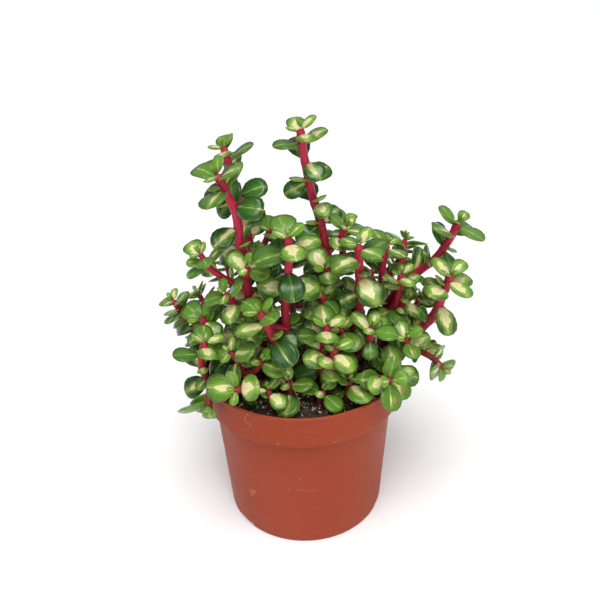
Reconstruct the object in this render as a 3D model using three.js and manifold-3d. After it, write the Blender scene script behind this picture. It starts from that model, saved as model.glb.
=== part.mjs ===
// A potted elephant bush (Portulacaria afra, variegated) in a round plastic nursery pot.
// Millimetres, +Z up, the origin at the centre of the pot's foot, the plant's open side towards -Y.
//
// The pot is one thin shell. The potting mix fills it to a little below the lip and holds the rooted
// stems in sockets. Each shoot, a stem with the leaves grown on it, is one solid: rooted shoots stand in
// the mix, and side shoots leave the leaf joints of an older stem.

import * as THREE from 'three';
import { mergeVertices } from 'three/addons/utils/BufferGeometryUtils.js';
import Module from 'manifold-3d';

const wasm = await Module();
wasm.setup();

// Pot.
const POT_HEIGHT = 99;
const RIM_RADIUS = 60;
const COLLAR_BOTTOM = 80;
const BODY_TOP_RADIUS = 54.6;
const FOOT_RADIUS = 49.5;
const WALL = 1.1;
const LIP = 1.9;
const FLOOR_RISE = 2.5;
const FOOT_WIDTH = 2.4;
const CENTRE_PAD_RADIUS = 10;
const POT_SEGMENTS = 36;
const NOTCH_ANGLES = [219, 339, 99];
const NOTCH_WIDTH = 15;
const NOTCH_HEIGHT = 2.7;

// Potting mix.
const SOIL_TOP = 92;
const SOIL_BOTTOM = 4;
const SOIL_SEGMENTS = 24;
const ROOT_BOTTOM = 80;

// The gap that separate pieces keep.
const GAP = 0.3;

// Leaf pairs, counted from the tip of a shoot: distance to the next younger pair, length against the
// shoot's full leaf, and angle from the stem in degrees.
const PAIR_SPACING = [1, 2.4, 5.5, 10, 12, 13, 13.5, 13.5, 13.5, 13.5, 13.5];
const PAIR_LENGTH = [0.56, 0.92, 1, 1, 1, 1, 0.97, 0.95, 0.93, 0.92, 0.9];
const PAIR_ANGLE = [64, 78, 82, 88, 94, 98, 100, 100, 100, 100, 100];
const YOUNG_PAIRS = 3;
const FULL_LEAF = 16;
const ROOTED_BARE = 16;
const SIDE_BARE = 5;

// Where a leaf finds no room it turns aside: change of angle, turn about the stem, size.
const WAYS_TO_GROW = [
  [0, 0, 1], [10, 0, 1], [-10, 0, 1], [0, 16, 1], [0, -16, 1],
  [18, 10, 0.92], [-18, -10, 0.92], [8, 28, 0.9], [8, -28, 0.9],
  [30, 0, 0.85], [-28, 0, 0.85], [30, 24, 0.75], [-26, -24, 0.75],
  [0, 0, 0.66], [30, 0, 0.6], [-30, 0, 0.6],
];
const LEAF_CLEARANCE = 2.45;
const SIBLING_CLEARANCE = 1.96;
const STEM_CLEARANCE = 1.5;
const JOINT_CLEARANCE = 2.2;
const SOIL_CLEARANCE = 2.2;
const RIM_CLEARANCE = 2.9;
const MIX_REACH = 58;
const RIM_REACH = [54.5, 62.5];
const PROBE_SPACING = 2.3;

// How far a leaf leans to the light, in degrees, and how strongly its face turns to the tip of its stem,
// to the light and up.
const YOUNG_HABIT = { lean: 14, toTip: 0.8, toLight: 0.15, toSky: 0.2 };
const OLD_HABIT = { lean: 42, toTip: 0.35, toLight: 0.75, toSky: 0.35 };

// How deep a leaf's base is set into its stem, as a share of the stem's radius.
const BASE_DEPTH = 0.45;

const LEAF_SIDES = 7;
const STEM_SIDES = 6;
const ROUTE_STEPS = 40;

const POT_PLASTIC = { color: 0xae5034, roughness: 0.5, metalness: 0 };
const POTTING_MIX = { color: 0x3a2c22, roughness: 1, metalness: 0 };
const LEAF_AND_STEM = { color: 0x4f8f34, roughness: 0.35, metalness: 0 };

// Shoots. girth is the stem's radius at its root end and at its tip, turn the direction of the tip pair
// in degrees about the stem, pairs the number of leaf pairs, leaf the length of a full leaf. A rooted
// shoot has the place of its root; a side shoot's route starts on the axis of the stem that bears it.
const SHOOTS = [
  { name: 'centre_tall', root: [8, 12], girth: [3.2, 2.2], turn: 20, pairs: 11, leaf: 14.5,
    route: [[15, 12, 120], [18, 12, 146], [16, 11, 168], [12, 10, 186], [8, 9, 201],
      [5, 8, 218], [3, 6, 235]] },
  { name: 'left_front', root: [-20, -6], girth: [3.3, 2.3], turn: 55, pairs: 10, leaf: 16,
    route: [[-25, -7, 124], [-29, -8, 150], [-31, -9, 175], [-32, -10, 195],
      [-36, -11, 207], [-40, -12, 217]] },
  { name: 'left_back', root: [-14, 18], girth: [3.1, 2.1], turn: 0, pairs: 10, leaf: 14,
    route: [[-20, 18, 120], [-25, 18, 151], [-29, 18, 173], [-32, 18, 190], [-35, 18, 207], [-39, 17, 225]] },
  { name: 'front_centre', root: [-5, -16], girth: [2.9, 2.1], turn: 15, pairs: 7, leaf: 16,
    route: [[-8, -19, 130], [-8, -21, 150], [-5, -24, 173], [-5, -26, 187]] },
  { name: 'right_centre', root: [23, -10], girth: [3.3, 2.3], turn: 30, pairs: 7, leaf: 16,
    route: [[30, -11, 121], [33, -12, 140], [33, -13, 156], [32, -15, 178]] },
  { name: 'right_mid', root: [30, 12], girth: [2.8, 2], turn: 40, pairs: 6, leaf: 14,
    route: [[43, 11, 118], [48, 10, 139], [49, 10, 155], [51, 10, 168]] },
  { name: 'far_right_upper', root: [37, 26], girth: [3.2, 2.2], turn: 50, pairs: 7, leaf: 15,
    route: [[53, 20, 122], [62, 16, 140], [71, 13, 149], [79, 11, 157], [86, 9, 169], [90, 7, 181]] },
  { name: 'far_right_lower', root: [41, -8], girth: [3.4, 2.3], turn: 35, pairs: 6, leaf: 16,
    route: [[48, -8, 98], [55, -9, 106], [62, -11, 114], [68, -12, 123], [75, -13, 133], [79, -14, 145],
      [82, -16, 159]] },
  { name: 'right_low_side', on: 'far_right_lower', girth: [2, 1.5], turn: 30, pairs: 4, leaf: 12,
    route: [[61, -11, 113], [68, -17, 112], [75, -23, 110], [79, -28, 107]] },
  { name: 'front_right_rim', root: [36, -22], girth: [2.5, 1.9], turn: 45, pairs: 3, leaf: 15,
    route: [[40, -31, 104], [44, -40, 109], [47, -46, 112]] },
  { name: 'front_left_rim', root: [-13, -11], girth: [2.7, 2.1], turn: 45, pairs: 4, leaf: 17,
    route: [[-16, -20, 98], [-24, -32, 103], [-32, -43, 108], [-36, -48, 111]] },
  { name: 'left_low', root: [-40, -14], girth: [2.6, 2], turn: 20, pairs: 5, leaf: 15.5,
    route: [[-51, -22, 100], [-55, -29, 110], [-55, -31, 121], [-52, -31, 131]] },
  { name: 'left_hanging', on: 'left_low', girth: [2, 1.6], turn: 80, pairs: 3, leaf: 15,
    route: [[-51, -22, 100], [-51, -32, 104], [-52, -39, 101], [-52, -42, 96]] },
  { name: 'left_mid', root: [-34, 2], girth: [2.5, 1.9], turn: 30, pairs: 5, leaf: 14,
    route: [[-41, -4, 113], [-50, -10, 124], [-56, -14, 137]] },
  { name: 'left_far_side', on: 'left_mid', girth: [2.1, 1.6], turn: 60, pairs: 5, leaf: 13,
    route: [[-41, -4, 112], [-51, -1, 119], [-61, 2, 124], [-69, 2, 131], [-74, 2, 141]] },
  { name: 'left_upper_side', on: 'left_front', girth: [2.1, 1.6], turn: 20, pairs: 5, leaf: 12,
    route: [[-29, -8, 150], [-36, -8, 154], [-43, -8, 159], [-49, -9, 165], [-53, -11, 174]] },
  { name: 'left_centre', root: [-12, -24], girth: [2.8, 2], turn: 25, pairs: 5, leaf: 15,
    route: [[-9, -28, 110], [-12, -32, 125], [-16, -35, 137], [-21, -37, 151]] },
  { name: 'low_centre', root: [12, -22], girth: [2.8, 2], turn: 10, pairs: 5, leaf: 16,
    route: [[12, -27, 121], [14, -30, 138]] },
  { name: 'left_inner', on: 'left_back', girth: [2.3, 1.8], turn: 0, pairs: 5, leaf: 12,
    route: [[-18, 18, 111], [-16, 8, 120], [-18, 1, 145], [-21, -2, 169]] },
  { name: 'centre_back', root: [12, 32], girth: [2.5, 1.9], turn: 50, pairs: 6, leaf: 14,
    route: [[18, 31, 120], [26, 30, 150], [29, 30, 175]] },
  { name: 'right_back', root: [24, 40], girth: [2.5, 1.9], turn: 10, pairs: 6, leaf: 14,
    route: [[38, 40, 112], [54, 38, 130], [64, 36, 149]] },
  { name: 'right_inner', on: 'far_right_upper', girth: [2.2, 1.7], turn: 60, pairs: 4, leaf: 13,
    route: [[45, 23, 107], [51, 14, 112], [57, 4, 124], [61, 0, 138]] },
  { name: 'soil_left', root: [-6, -34], girth: [2.3, 1.8], turn: 70, pairs: 4, leaf: 15,
    route: [[-8, -37, 108]] },
  { name: 'soil_right', root: [24, -33], girth: [2.3, 1.8], turn: 20, pairs: 4, leaf: 15,
    route: [[26, -37, 107]] },
  { name: 'front_mid', on: 'low_centre', girth: [2.2, 1.7], turn: 30, pairs: 4, leaf: 15,
    route: [[12, -24, 104], [10, -31, 110], [15, -37, 120], [18, -39, 129]] },
  { name: 'left_low_inner', root: [-32, -24], girth: [2.4, 1.8], turn: 60, pairs: 4, leaf: 14,
    route: [[-34, -30, 115], [-39, -34, 126]] },
  { name: 'centre_low_left', on: 'left_front', girth: [2.2, 1.7], turn: 15, pairs: 4, leaf: 14,
    route: [[-23, -6, 112], [-28, -14, 120], [-31, -20, 135]] },
  { name: 'left_mid_high', on: 'left_front', girth: [2.2, 1.7], turn: 80, pairs: 4, leaf: 14,
    route: [[-26, -7, 132], [-33, -12, 140], [-41, -17, 153]] },
  { name: 'centre_mid', on: 'centre_tall', girth: [2.2, 1.7], turn: 40, pairs: 5, leaf: 14,
    route: [[11, 12, 105], [9, 2, 113], [12, -8, 129], [13, -12, 148]] },
  { name: 'right_low_mid', on: 'right_centre', girth: [2.2, 1.7], turn: 70, pairs: 4, leaf: 15,
    route: [[26, -11, 106], [32, -19, 112], [37, -25, 122], [38, -28, 135]] },
  { name: 'right_rim', on: 'far_right_lower', girth: [2.2, 1.7], turn: 20, pairs: 4, leaf: 14,
    route: [[49, -8, 99], [54, -15, 104], [58, -21, 114], [58, -25, 126]] },
  { name: 'right_top_inner', on: 'right_mid', girth: [2.2, 1.7], turn: 35, pairs: 5, leaf: 13,
    route: [[42, 11, 116], [50, 6, 123], [56, 1, 134], [58, 0, 154]] },
  { name: 'back_left', root: [-28, 32], girth: [2.5, 1.9], turn: 30, pairs: 6, leaf: 15,
    route: [[-40, 44, 115], [-48, 56, 140]] },
  { name: 'back_centre', root: [-4, 42], girth: [2.6, 2], turn: 75, pairs: 7, leaf: 15,
    route: [[-6, 54, 120], [-8, 62, 152]] },
  { name: 'back_right', on: 'right_back', girth: [2.2, 1.7], turn: 30, pairs: 5, leaf: 14,
    route: [[39, 40, 113], [45, 51, 118], [50, 60, 132]] },
  { name: 'back_left_low', on: 'back_left', girth: [2.1, 1.6], turn: 10, pairs: 5, leaf: 14,
    route: [[-37, 41, 110], [-49, 42, 107], [-60, 45, 112], [-68, 48, 124]] },
  { name: 'back_rim', on: 'back_centre', girth: [2.2, 1.7], turn: 50, pairs: 5, leaf: 15,
    route: [[-5, 50, 110], [6, 60, 108], [14, 68, 116], [18, 72, 128]] },
  { name: 'back_right_low', root: [43, 12], girth: [2.4, 1.8], turn: 20, pairs: 5, leaf: 15,
    route: [[51, 17, 104], [62, 26, 111], [72, 33, 125]] },
  { name: 'left_side_low', root: [-46, 10], girth: [2.4, 1.8], turn: 65, pairs: 5, leaf: 14,
    route: [[-58, 13, 103], [-66, 16, 117]] },
  { name: 'back_left_high', on: 'left_back', girth: [2.1, 1.6], turn: 40, pairs: 5, leaf: 13,
    route: [[-22, 18, 134], [-26, 28, 141], [-32, 37, 160]] },
  { name: 'back_centre_high', on: 'centre_tall', girth: [2.1, 1.6], turn: 15, pairs: 5, leaf: 13,
    route: [[17, 12, 133], [15, 23, 140], [11, 31, 160]] },
  { name: 'back_right_high', on: 'far_right_upper', girth: [2.1, 1.6], turn: 55, pairs: 5, leaf: 13,
    route: [[62, 16, 140], [63, 27, 146], [66, 35, 162]] },
  { name: 'soil_front_left', root: [-18, -38], girth: [2.3, 1.8], turn: 30, pairs: 4, leaf: 14,
    route: [[-19, -41, 106]] },
  { name: 'soil_centre', root: [9, -38], girth: [2.3, 1.8], turn: 50, pairs: 3, leaf: 15,
    route: [[11, -41, 104]] },
  { name: 'inner_centre', root: [3, -5], girth: [2.4, 1.8], turn: 25, pairs: 5, leaf: 15,
    route: [[3, -9, 111], [4, -12, 124]] },
  { name: 'inner_left', root: [-25, 10], girth: [2.4, 1.8], turn: 65, pairs: 5, leaf: 15,
    route: [[-28, 6, 110], [-31, 2, 124]] },
  { name: 'inner_back_right', root: [21, 23], girth: [2.4, 1.8], turn: 40, pairs: 5, leaf: 15,
    route: [[26, 23, 112], [33, 22, 130]] },
  { name: 'right_front_rim', root: [45, -18], girth: [2.4, 1.8], turn: 10, pairs: 4, leaf: 15,
    route: [[49, -26, 103], [52, -34, 110]] },
  { name: 'inner_right', root: [17, 2], girth: [2.4, 1.8], turn: 55, pairs: 5, leaf: 15,
    route: [[19, -2, 108], [21, -6, 122]] },
  { name: 'back_low', root: [-18, 38], girth: [2.4, 1.8], turn: 20, pairs: 4, leaf: 15,
    route: [[-22, 48, 105], [-25, 56, 114]] },
  { name: 'right_side_mid', on: 'far_right_upper', girth: [2.1, 1.6], turn: 35, pairs: 4, leaf: 14,
    route: [[53, 20, 122], [60, 12, 124], [67, 5, 129], [71, 1, 139]] },
  { name: 'centre_high', on: 'centre_tall', girth: [2.1, 1.6], turn: 70, pairs: 4, leaf: 12,
    route: [[16, 11, 167], [22, 6, 171], [27, 3, 182]] },
  { name: 'left_back_side', on: 'left_back', girth: [2.1, 1.6], turn: 25, pairs: 4, leaf: 12,
    route: [[-27, 18, 161], [-21, 15, 166], [-16, 13, 178]] },
  { name: 'left_front_mid', on: 'left_low_inner', girth: [2.1, 1.6], turn: 60, pairs: 4, leaf: 14,
    route: [[-33, -28, 109], [-26, -33, 113], [-22, -37, 122]] },
  { name: 'right_centre_low', on: 'right_centre', girth: [2.1, 1.6], turn: 15, pairs: 4, leaf: 15,
    route: [[30, -11, 119], [24, -17, 121], [22, -22, 132]] },
  { name: 'centre_left_mid', on: 'front_centre', girth: [2.1, 1.6], turn: 45, pairs: 4, leaf: 14,
    route: [[-8, -20, 131], [-15, -21, 134], [-19, -23, 144]] },
  { name: 'left_front_side', on: 'left_front', girth: [2.1, 1.6], turn: 65, pairs: 4, leaf: 14,
    route: [[-30, -8, 160], [-28, -16, 162], [-27, -22, 170]] },
  { name: 'centre_side', on: 'centre_tall', girth: [2.1, 1.6], turn: 25, pairs: 4, leaf: 14,
    route: [[18, 12, 148], [16, 3, 151], [15, -3, 160]] },
];

// ---------------------------------------------------------------------------------- solids

function solidOf(geometry) {
  const bare = geometry.clone();
  bare.deleteAttribute('normal');
  bare.deleteAttribute('uv');
  const merged = mergeVertices(bare, 1e-4);
  const triVerts = [];
  const index = merged.index.array;
  for (let i = 0; i < index.length; i += 3) {
    const [a, b, c] = [index[i], index[i + 1], index[i + 2]];
    if (a !== b && b !== c && c !== a) triVerts.push(a, b, c);
  }
  return new wasm.Manifold(new wasm.Mesh({
    numProp: 3,
    vertProperties: new Float32Array(merged.attributes.position.array),
    triVerts: new Uint32Array(triVerts),
  }));
}

function meshOf(solid, name, look) {
  const { vertProperties, triVerts } = solid.getMesh();
  const geometry = new THREE.BufferGeometry();
  geometry.setAttribute('position', new THREE.BufferAttribute(vertProperties, 3));
  geometry.setIndex(new THREE.BufferAttribute(triVerts, 1));
  geometry.computeVertexNormals();
  const mesh = new THREE.Mesh(geometry, new THREE.MeshStandardMaterial(look));
  mesh.name = name;
  return mesh;
}

// Moves every vertex of a geometry to where place(x, y, z) puts it.
function reshape(geometry, place) {
  const position = geometry.attributes.position;
  const moved = new THREE.Vector3();
  for (let i = 0; i < position.count; i += 1) {
    place(position.getX(i), position.getY(i), position.getZ(i), moved);
    position.setXYZ(i, moved.x, moved.y, moved.z);
  }
  return geometry;
}

// A closed profile of [radius, height] points, given counterclockwise, turned about the Z axis.
function turned(profile, segments) {
  const points = profile.map(([radius, height]) => new THREE.Vector2(radius, height));
  return new THREE.LatheGeometry(points, segments).rotateX(Math.PI / 2);
}

// ------------------------------------------------------------------------------- pot and soil

function potProfile() {
  const footInner = FOOT_RADIUS - FOOT_WIDTH;
  const floorTop = FLOOR_RISE + WALL;
  const innerFoot = FOOT_RADIUS - WALL;
  const innerBodyTop = BODY_TOP_RADIUS - WALL;
  const collarOuter = RIM_RADIUS - 0.5;
  const collarInner = collarOuter - WALL;
  return [
    [0, 0],
    [CENTRE_PAD_RADIUS, 0],
    [CENTRE_PAD_RADIUS, FLOOR_RISE],
    [footInner, FLOOR_RISE],
    [footInner, 0],
    [FOOT_RADIUS - 0.9, 0],
    [FOOT_RADIUS, 0.9],
    [BODY_TOP_RADIUS, COLLAR_BOTTOM - 1],
    [collarOuter - 0.6, COLLAR_BOTTOM],
    [collarOuter, COLLAR_BOTTOM + 0.8],
    [collarOuter, POT_HEIGHT - LIP - 0.5],
    [RIM_RADIUS, POT_HEIGHT - LIP],
    [RIM_RADIUS, POT_HEIGHT - 0.6],
    [RIM_RADIUS - 0.6, POT_HEIGHT],
    [collarInner, POT_HEIGHT],
    [collarInner, COLLAR_BOTTOM + 1.6],
    [innerBodyTop, COLLAR_BOTTOM],
    [innerFoot, floorTop],
    [0, floorTop],
  ];
}

// The three drainage notches open the foot ring and the corner of the floor above it.
function notch(angle) {
  const depth = 9;
  const box = new THREE.BoxGeometry(depth, NOTCH_WIDTH, NOTCH_HEIGHT + 2);
  box.translate(FOOT_RADIUS, 0, NOTCH_HEIGHT / 2 - 1);
  return solidOf(box.rotateZ(THREE.MathUtils.degToRad(angle)));
}

function potSolid() {
  let pot = solidOf(turned(potProfile(), POT_SEGMENTS));
  for (const angle of NOTCH_ANGLES) pot = pot.subtract(notch(angle));
  return pot;
}

// The mix lies against the pot's inside and is a little uneven on top.
function soilSolid() {
  const footRadius = FOOT_RADIUS - WALL - GAP;
  const bodyRadius = BODY_TOP_RADIUS - WALL - GAP;
  const collarRadius = RIM_RADIUS - 0.5 - WALL - GAP;
  const profile = [
    [0, SOIL_BOTTOM],
    [footRadius, SOIL_BOTTOM],
    [bodyRadius, COLLAR_BOTTOM],
    [collarRadius, COLLAR_BOTTOM + 2.4],
    [collarRadius, SOIL_TOP - 1],
    [35, SOIL_TOP],
    [0, SOIL_TOP],
  ];
  const heaped = (x, y, z, moved) => {
    const onTop = z > SOIL_TOP - 1.5 ? 1 : 0;
    moved.set(x, y, z + onTop * (0.5 * Math.sin(x * 0.13 + 1) + 0.5 * Math.cos(y * 0.16 + x * 0.05)));
  };
  return solidOf(reshape(turned(profile, SOIL_SEGMENTS), heaped));
}

// ------------------------------------------------------------------------------------- stems

const UP = new THREE.Vector3(0, 0, 1);
const ALONG_Y = new THREE.Vector3(0, 1, 0);

function routeOf(shoot) {
  if (!shoot.root) return shoot.route;
  const [x, y] = shoot.root;
  return [[x, y, ROOT_BOTTOM], [x, y, SOIL_TOP], ...shoot.route];
}

class Stem {
  constructor(shoot) {
    const through = routeOf(shoot).map((point) => new THREE.Vector3(...point));
    this.line = new THREE.CatmullRomCurve3(through, false, 'catmullrom', 0.5).getPoints(ROUTE_STEPS);
    this.reached = [0];
    for (let i = 1; i <= ROUTE_STEPS; i += 1) {
      this.reached.push(this.reached[i - 1] + this.line[i].distanceTo(this.line[i - 1]));
    }
    this.length = this.reached[ROUTE_STEPS];
    [this.rootRadius, this.tipRadius] = shoot.girth;
  }

  radiusAt(distance) {
    return this.rootRadius + (this.tipRadius - this.rootRadius) * (distance / this.length);
  }

  // The point at a distance from the root end, with the stem's direction and two directions across it.
  at(distance) {
    const d = Math.min(Math.max(distance, 0), this.length);
    let i = 0;
    while (i < ROUTE_STEPS - 1 && this.reached[i + 1] <= d) i += 1;
    const part = (d - this.reached[i]) / (this.reached[i + 1] - this.reached[i]);
    const point = this.line[i].clone().lerp(this.line[i + 1], part);
    const from = this.line[Math.max(i - 1, 0)];
    const to = this.line[Math.min(i + 2, ROUTE_STEPS)];
    const along = to.clone().sub(from).normalize();
    const across = ALONG_Y.clone().cross(along).normalize();
    return { point, along, across, beside: along.clone().cross(across) };
  }

  solid(grown = 0) {
    const rings = Math.max(3, Math.round(this.length / 18));
    const tube = new THREE.CylinderGeometry(1, 1, 1, STEM_SIDES, rings);
    return solidOf(reshape(tube, (x, y, z, moved) => {
      const distance = (y + 0.5) * this.length;
      const { point, across, beside } = this.at(distance);
      const radius = this.radiusAt(distance) + grown;
      moved.copy(point).addScaledVector(across, x * radius).addScaledVector(beside, -z * radius);
    }));
  }
}

// ------------------------------------------------------------------------------------ leaves

// A repeatable number from 0 to 1, so that no two leaves are alike.
function chance(a, b, c) {
  const value = Math.sin(a * 12.9898 + b * 78.233 + c * 37.719) * 43758.5453;
  return value - Math.floor(value);
}

class Leaf {
  constructor(stem, distance, turn, angle, size, { breadth, curl, cup, young }) {
    const { point, along, across, beside } = stem.at(distance);
    const outward = across.clone().multiplyScalar(Math.cos(turn)).addScaledVector(beside, Math.sin(turn));
    // Leaves lean towards the light on their own side of the plant, the old ones most.
    const lit = new THREE.Vector3(0.28 * point.x, point.y - 40, 0).normalize();
    const habit = young ? YOUNG_HABIT : OLD_HABIT;
    const lean = THREE.MathUtils.degToRad(habit.lean) * outward.dot(lit);
    this.axis = along.clone().multiplyScalar(Math.cos(angle + lean));
    this.axis.addScaledVector(outward, Math.sin(angle + lean)).normalize();
    const facing = along.clone().multiplyScalar(habit.toTip);
    facing.addScaledVector(lit, habit.toLight).addScaledVector(UP, habit.toSky);
    this.face = facing.addScaledVector(this.axis, -facing.dot(this.axis)).normalize();
    this.side = this.face.clone().cross(this.axis);
    // The blade's pointed base is set a little way into the stem.
    this.stemRadius = stem.radiusAt(distance);
    this.base = point.addScaledVector(this.axis, BASE_DEPTH * this.stemRadius);
    this.length = size + (1 - BASE_DEPTH) * this.stemRadius;
    this.width = size * breadth;
    this.curl = curl;
    this.cup = cup;
    this.probe();
  }

  halfWidth(u) {
    return this.width * Math.sqrt(Math.max(u * (1 - u), 0)) * (0.7 + 0.52 * u);
  }

  // u runs from the joint to the tip and v from edge to edge, -1 to 1.
  pointAt(u, v, target) {
    const dish = this.cup * this.width * v * v * Math.sqrt(Math.max(u * (1 - u), 0));
    return target.copy(this.base)
      .addScaledVector(this.axis, this.length * u)
      .addScaledVector(this.side, this.halfWidth(u) * v)
      .addScaledVector(this.face, this.curl * this.length * u * u + dish);
  }

  // Points spread over the blade, for keeping it clear of its neighbours.
  probe() {
    this.probes = [];
    this.middle = new THREE.Vector3();
    const rows = Math.max(3, Math.ceil(this.length / PROBE_SPACING));
    for (let i = 1; i <= rows; i += 1) {
      const u = Math.min(i / rows, 0.97);
      const columns = Math.max(1, Math.ceil(this.halfWidth(u) / PROBE_SPACING));
      for (let j = -columns; j <= columns; j += 1) {
        const point = this.pointAt(u, (0.93 * j) / columns, new THREE.Vector3());
        this.probes.push({ u, point });
        this.middle.add(point);
      }
    }
    this.middle.divideScalar(this.probes.length);
  }

  solid(grown = 0) {
    const disc = new THREE.SphereGeometry(1, LEAF_SIDES, 2);
    const halfThickness = 0.35 + 0.038 * this.length + grown;
    const stretch = 1 + (2 * grown) / this.length;
    return solidOf(reshape(disc, (x, y, z, moved) => {
      const reach = Math.sqrt(Math.max(1 - x * x, 0));
      const v = reach > 1e-3 ? -z / reach : 0;
      this.pointAt((1 + x) / 2, v * stretch, moved);
      moved.addScaledVector(this.face, y * halfThickness).addScaledVector(this.axis, x * grown);
    }));
  }
}

// Past its base a leaf keeps out of the mix and off the rim.
function clearOfPot(u, point) {
  if (u <= 0.2) return true;
  const radius = Math.hypot(point.x, point.y);
  if (radius < MIX_REACH && point.z < SOIL_TOP + SOIL_CLEARANCE) return false;
  const overRim = radius > RIM_REACH[0] && radius < RIM_REACH[1];
  return !overRim || point.z >= POT_HEIGHT + RIM_CLEARANCE;
}

// Leaves keep clear of the pot and the mix, of stems and of older leaves.
function hasRoom(leaf, owner, grown, stemBeads) {
  const joint = (1 - BASE_DEPTH) * leaf.stemRadius + JOINT_CLEARANCE;
  for (const { u, point } of leaf.probes) {
    if (!clearOfPot(u, point)) return false;
    if (u * leaf.length <= joint) continue;
    for (const bead of stemBeads) {
      if (bead.point.distanceTo(point) - bead.radius < STEM_CLEARANCE) return false;
    }
  }
  for (const other of grown) {
    if (other.leaf.middle.distanceTo(leaf.middle) > (other.leaf.length + leaf.length) * 0.62 + 3) continue;
    const sibling = other.owner === owner;
    const clearance = sibling ? SIBLING_CLEARANCE : LEAF_CLEARANCE;
    const from = sibling ? 0.35 : 0;
    for (const mine of leaf.probes) {
      if (mine.u <= from) continue;
      for (const theirs of other.leaf.probes) {
        if (theirs.u > from && theirs.point.distanceTo(mine.point) < clearance) return false;
      }
    }
  }
  return true;
}

function beadsOf(stem) {
  const count = Math.max(2, Math.floor(stem.length / 2));
  const beads = [];
  for (let k = 0; k <= count; k += 1) {
    const distance = (stem.length * k) / count;
    beads.push({ point: stem.at(distance).point, radius: stem.radiusAt(distance) });
  }
  return beads;
}

// How far below the tip a pair stands: weaker shoots have shorter joints.
function belowTip(shoot, rank) {
  const vigour = 0.55 + 0.45 * (shoot.leaf / FULL_LEAF);
  let below = 0;
  for (let i = 0; i <= rank; i += 1) below += PAIR_SPACING[i];
  return PAIR_SPACING[0] + (below - PAIR_SPACING[0]) * vigour;
}

// Tries one leaf in each way it can grow and keeps the first that has room.
function growLeaf(plan, stems, grown, stemBeads) {
  for (const [moreAngle, moreTurn, share] of WAYS_TO_GROW) {
    const turn = THREE.MathUtils.degToRad(plan.turn + moreTurn);
    const angle = THREE.MathUtils.degToRad(plan.angle + moreAngle);
    const leaf = new Leaf(stems[plan.owner], plan.distance, turn, angle, plan.size * share, plan);
    if (hasRoom(leaf, plan.owner, grown, stemBeads)) {
      grown.push({ owner: plan.owner, leaf });
      return;
    }
  }
}

// A leaf of an opposite pair; each pair stands square to the next.
function pairLeaf(shoot, owner, rank, side, distance) {
  const draw = (k) => chance(owner + 1, rank + 1, side + k);
  const young = rank < YOUNG_PAIRS;
  const shorter = rank === 0 && side === 1 ? 0.8 : 1;
  return {
    owner,
    distance,
    turn: shoot.turn + 90 * rank + 180 * side + (draw(1) - 0.5) * 26,
    angle: PAIR_ANGLE[rank] + (draw(11) - 0.5) * 18,
    size: shoot.leaf * PAIR_LENGTH[rank] * shorter * (0.86 + 0.3 * draw(21)),
    breadth: 0.84 + 0.14 * draw(1),
    curl: young ? -0.02 + 0.14 * draw(11) : -0.1 + 0.16 * draw(11),
    cup: 0.1 + 0.1 * draw(21),
    young,
  };
}

// The youngest pairs of all shoots grow first, so older leaves make way for them.
function growLeaves(stems) {
  const grown = [];
  const stemBeads = stems.flatMap(beadsOf);
  for (let rank = 0; rank < PAIR_SPACING.length; rank += 1) {
    SHOOTS.forEach((shoot, owner) => {
      const distance = stems[owner].length - belowTip(shoot, rank);
      if (rank >= shoot.pairs || distance < (shoot.root ? ROOTED_BARE : SIDE_BARE)) return;
      for (const side of [0, 1]) {
        growLeaf(pairLeaf(shoot, owner, rank, side, distance), stems, grown, stemBeads);
      }
    });
  }
  return grown;
}

// ------------------------------------------------------------------------------------- plant

function largestBody(solid) {
  return solid.decompose().reduce((best, body) => (body.volume() > best.volume() ? body : best));
}

function boxesMeet(a, b) {
  const [boxA, boxB] = [a.boundingBox(), b.boundingBox()];
  return [0, 1, 2].every((k) => boxA.min[k] <= boxB.max[k] && boxB.min[k] <= boxA.max[k]);
}

// Each shoot is cut clear of the shoots before it, so that all of them keep their gap.
function shootSolids(stems, grown) {
  const done = [];
  return SHOOTS.map((shoot, owner) => {
    const leaves = grown.filter((entry) => entry.owner === owner).map((entry) => entry.leaf);
    const together = (extra) => leaves.reduce((sum, leaf) => sum.add(leaf.solid(extra)),
      stems[owner].solid(extra));
    let solid = together(0);
    for (const before of done) {
      if (boxesMeet(solid, before)) solid = solid.subtract(before);
    }
    done.push(together(GAP));
    return largestBody(solid);
  });
}

function plant() {
  const stems = SHOOTS.map((shoot) => new Stem(shoot));
  const solids = shootSolids(stems, growLeaves(stems));
  let soil = soilSolid();
  SHOOTS.forEach((shoot, owner) => {
    if (shoot.root) soil = soil.subtract(stems[owner].solid(GAP));
  });
  const group = new THREE.Group();
  group.add(meshOf(largestBody(soil), 'soil', POTTING_MIX));
  SHOOTS.forEach((shoot, owner) => {
    group.add(meshOf(solids[owner], `shoot_${shoot.name}`, LEAF_AND_STEM));
  });
  return group;
}

const pottedElephantBush = new THREE.Group();
pottedElephantBush.add(meshOf(potSolid(), 'pot', POT_PLASTIC));
pottedElephantBush.add(plant());

export default pottedElephantBush;
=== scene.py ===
import math

import bpy
import numpy as np
from mathutils import Matrix, Vector


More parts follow.
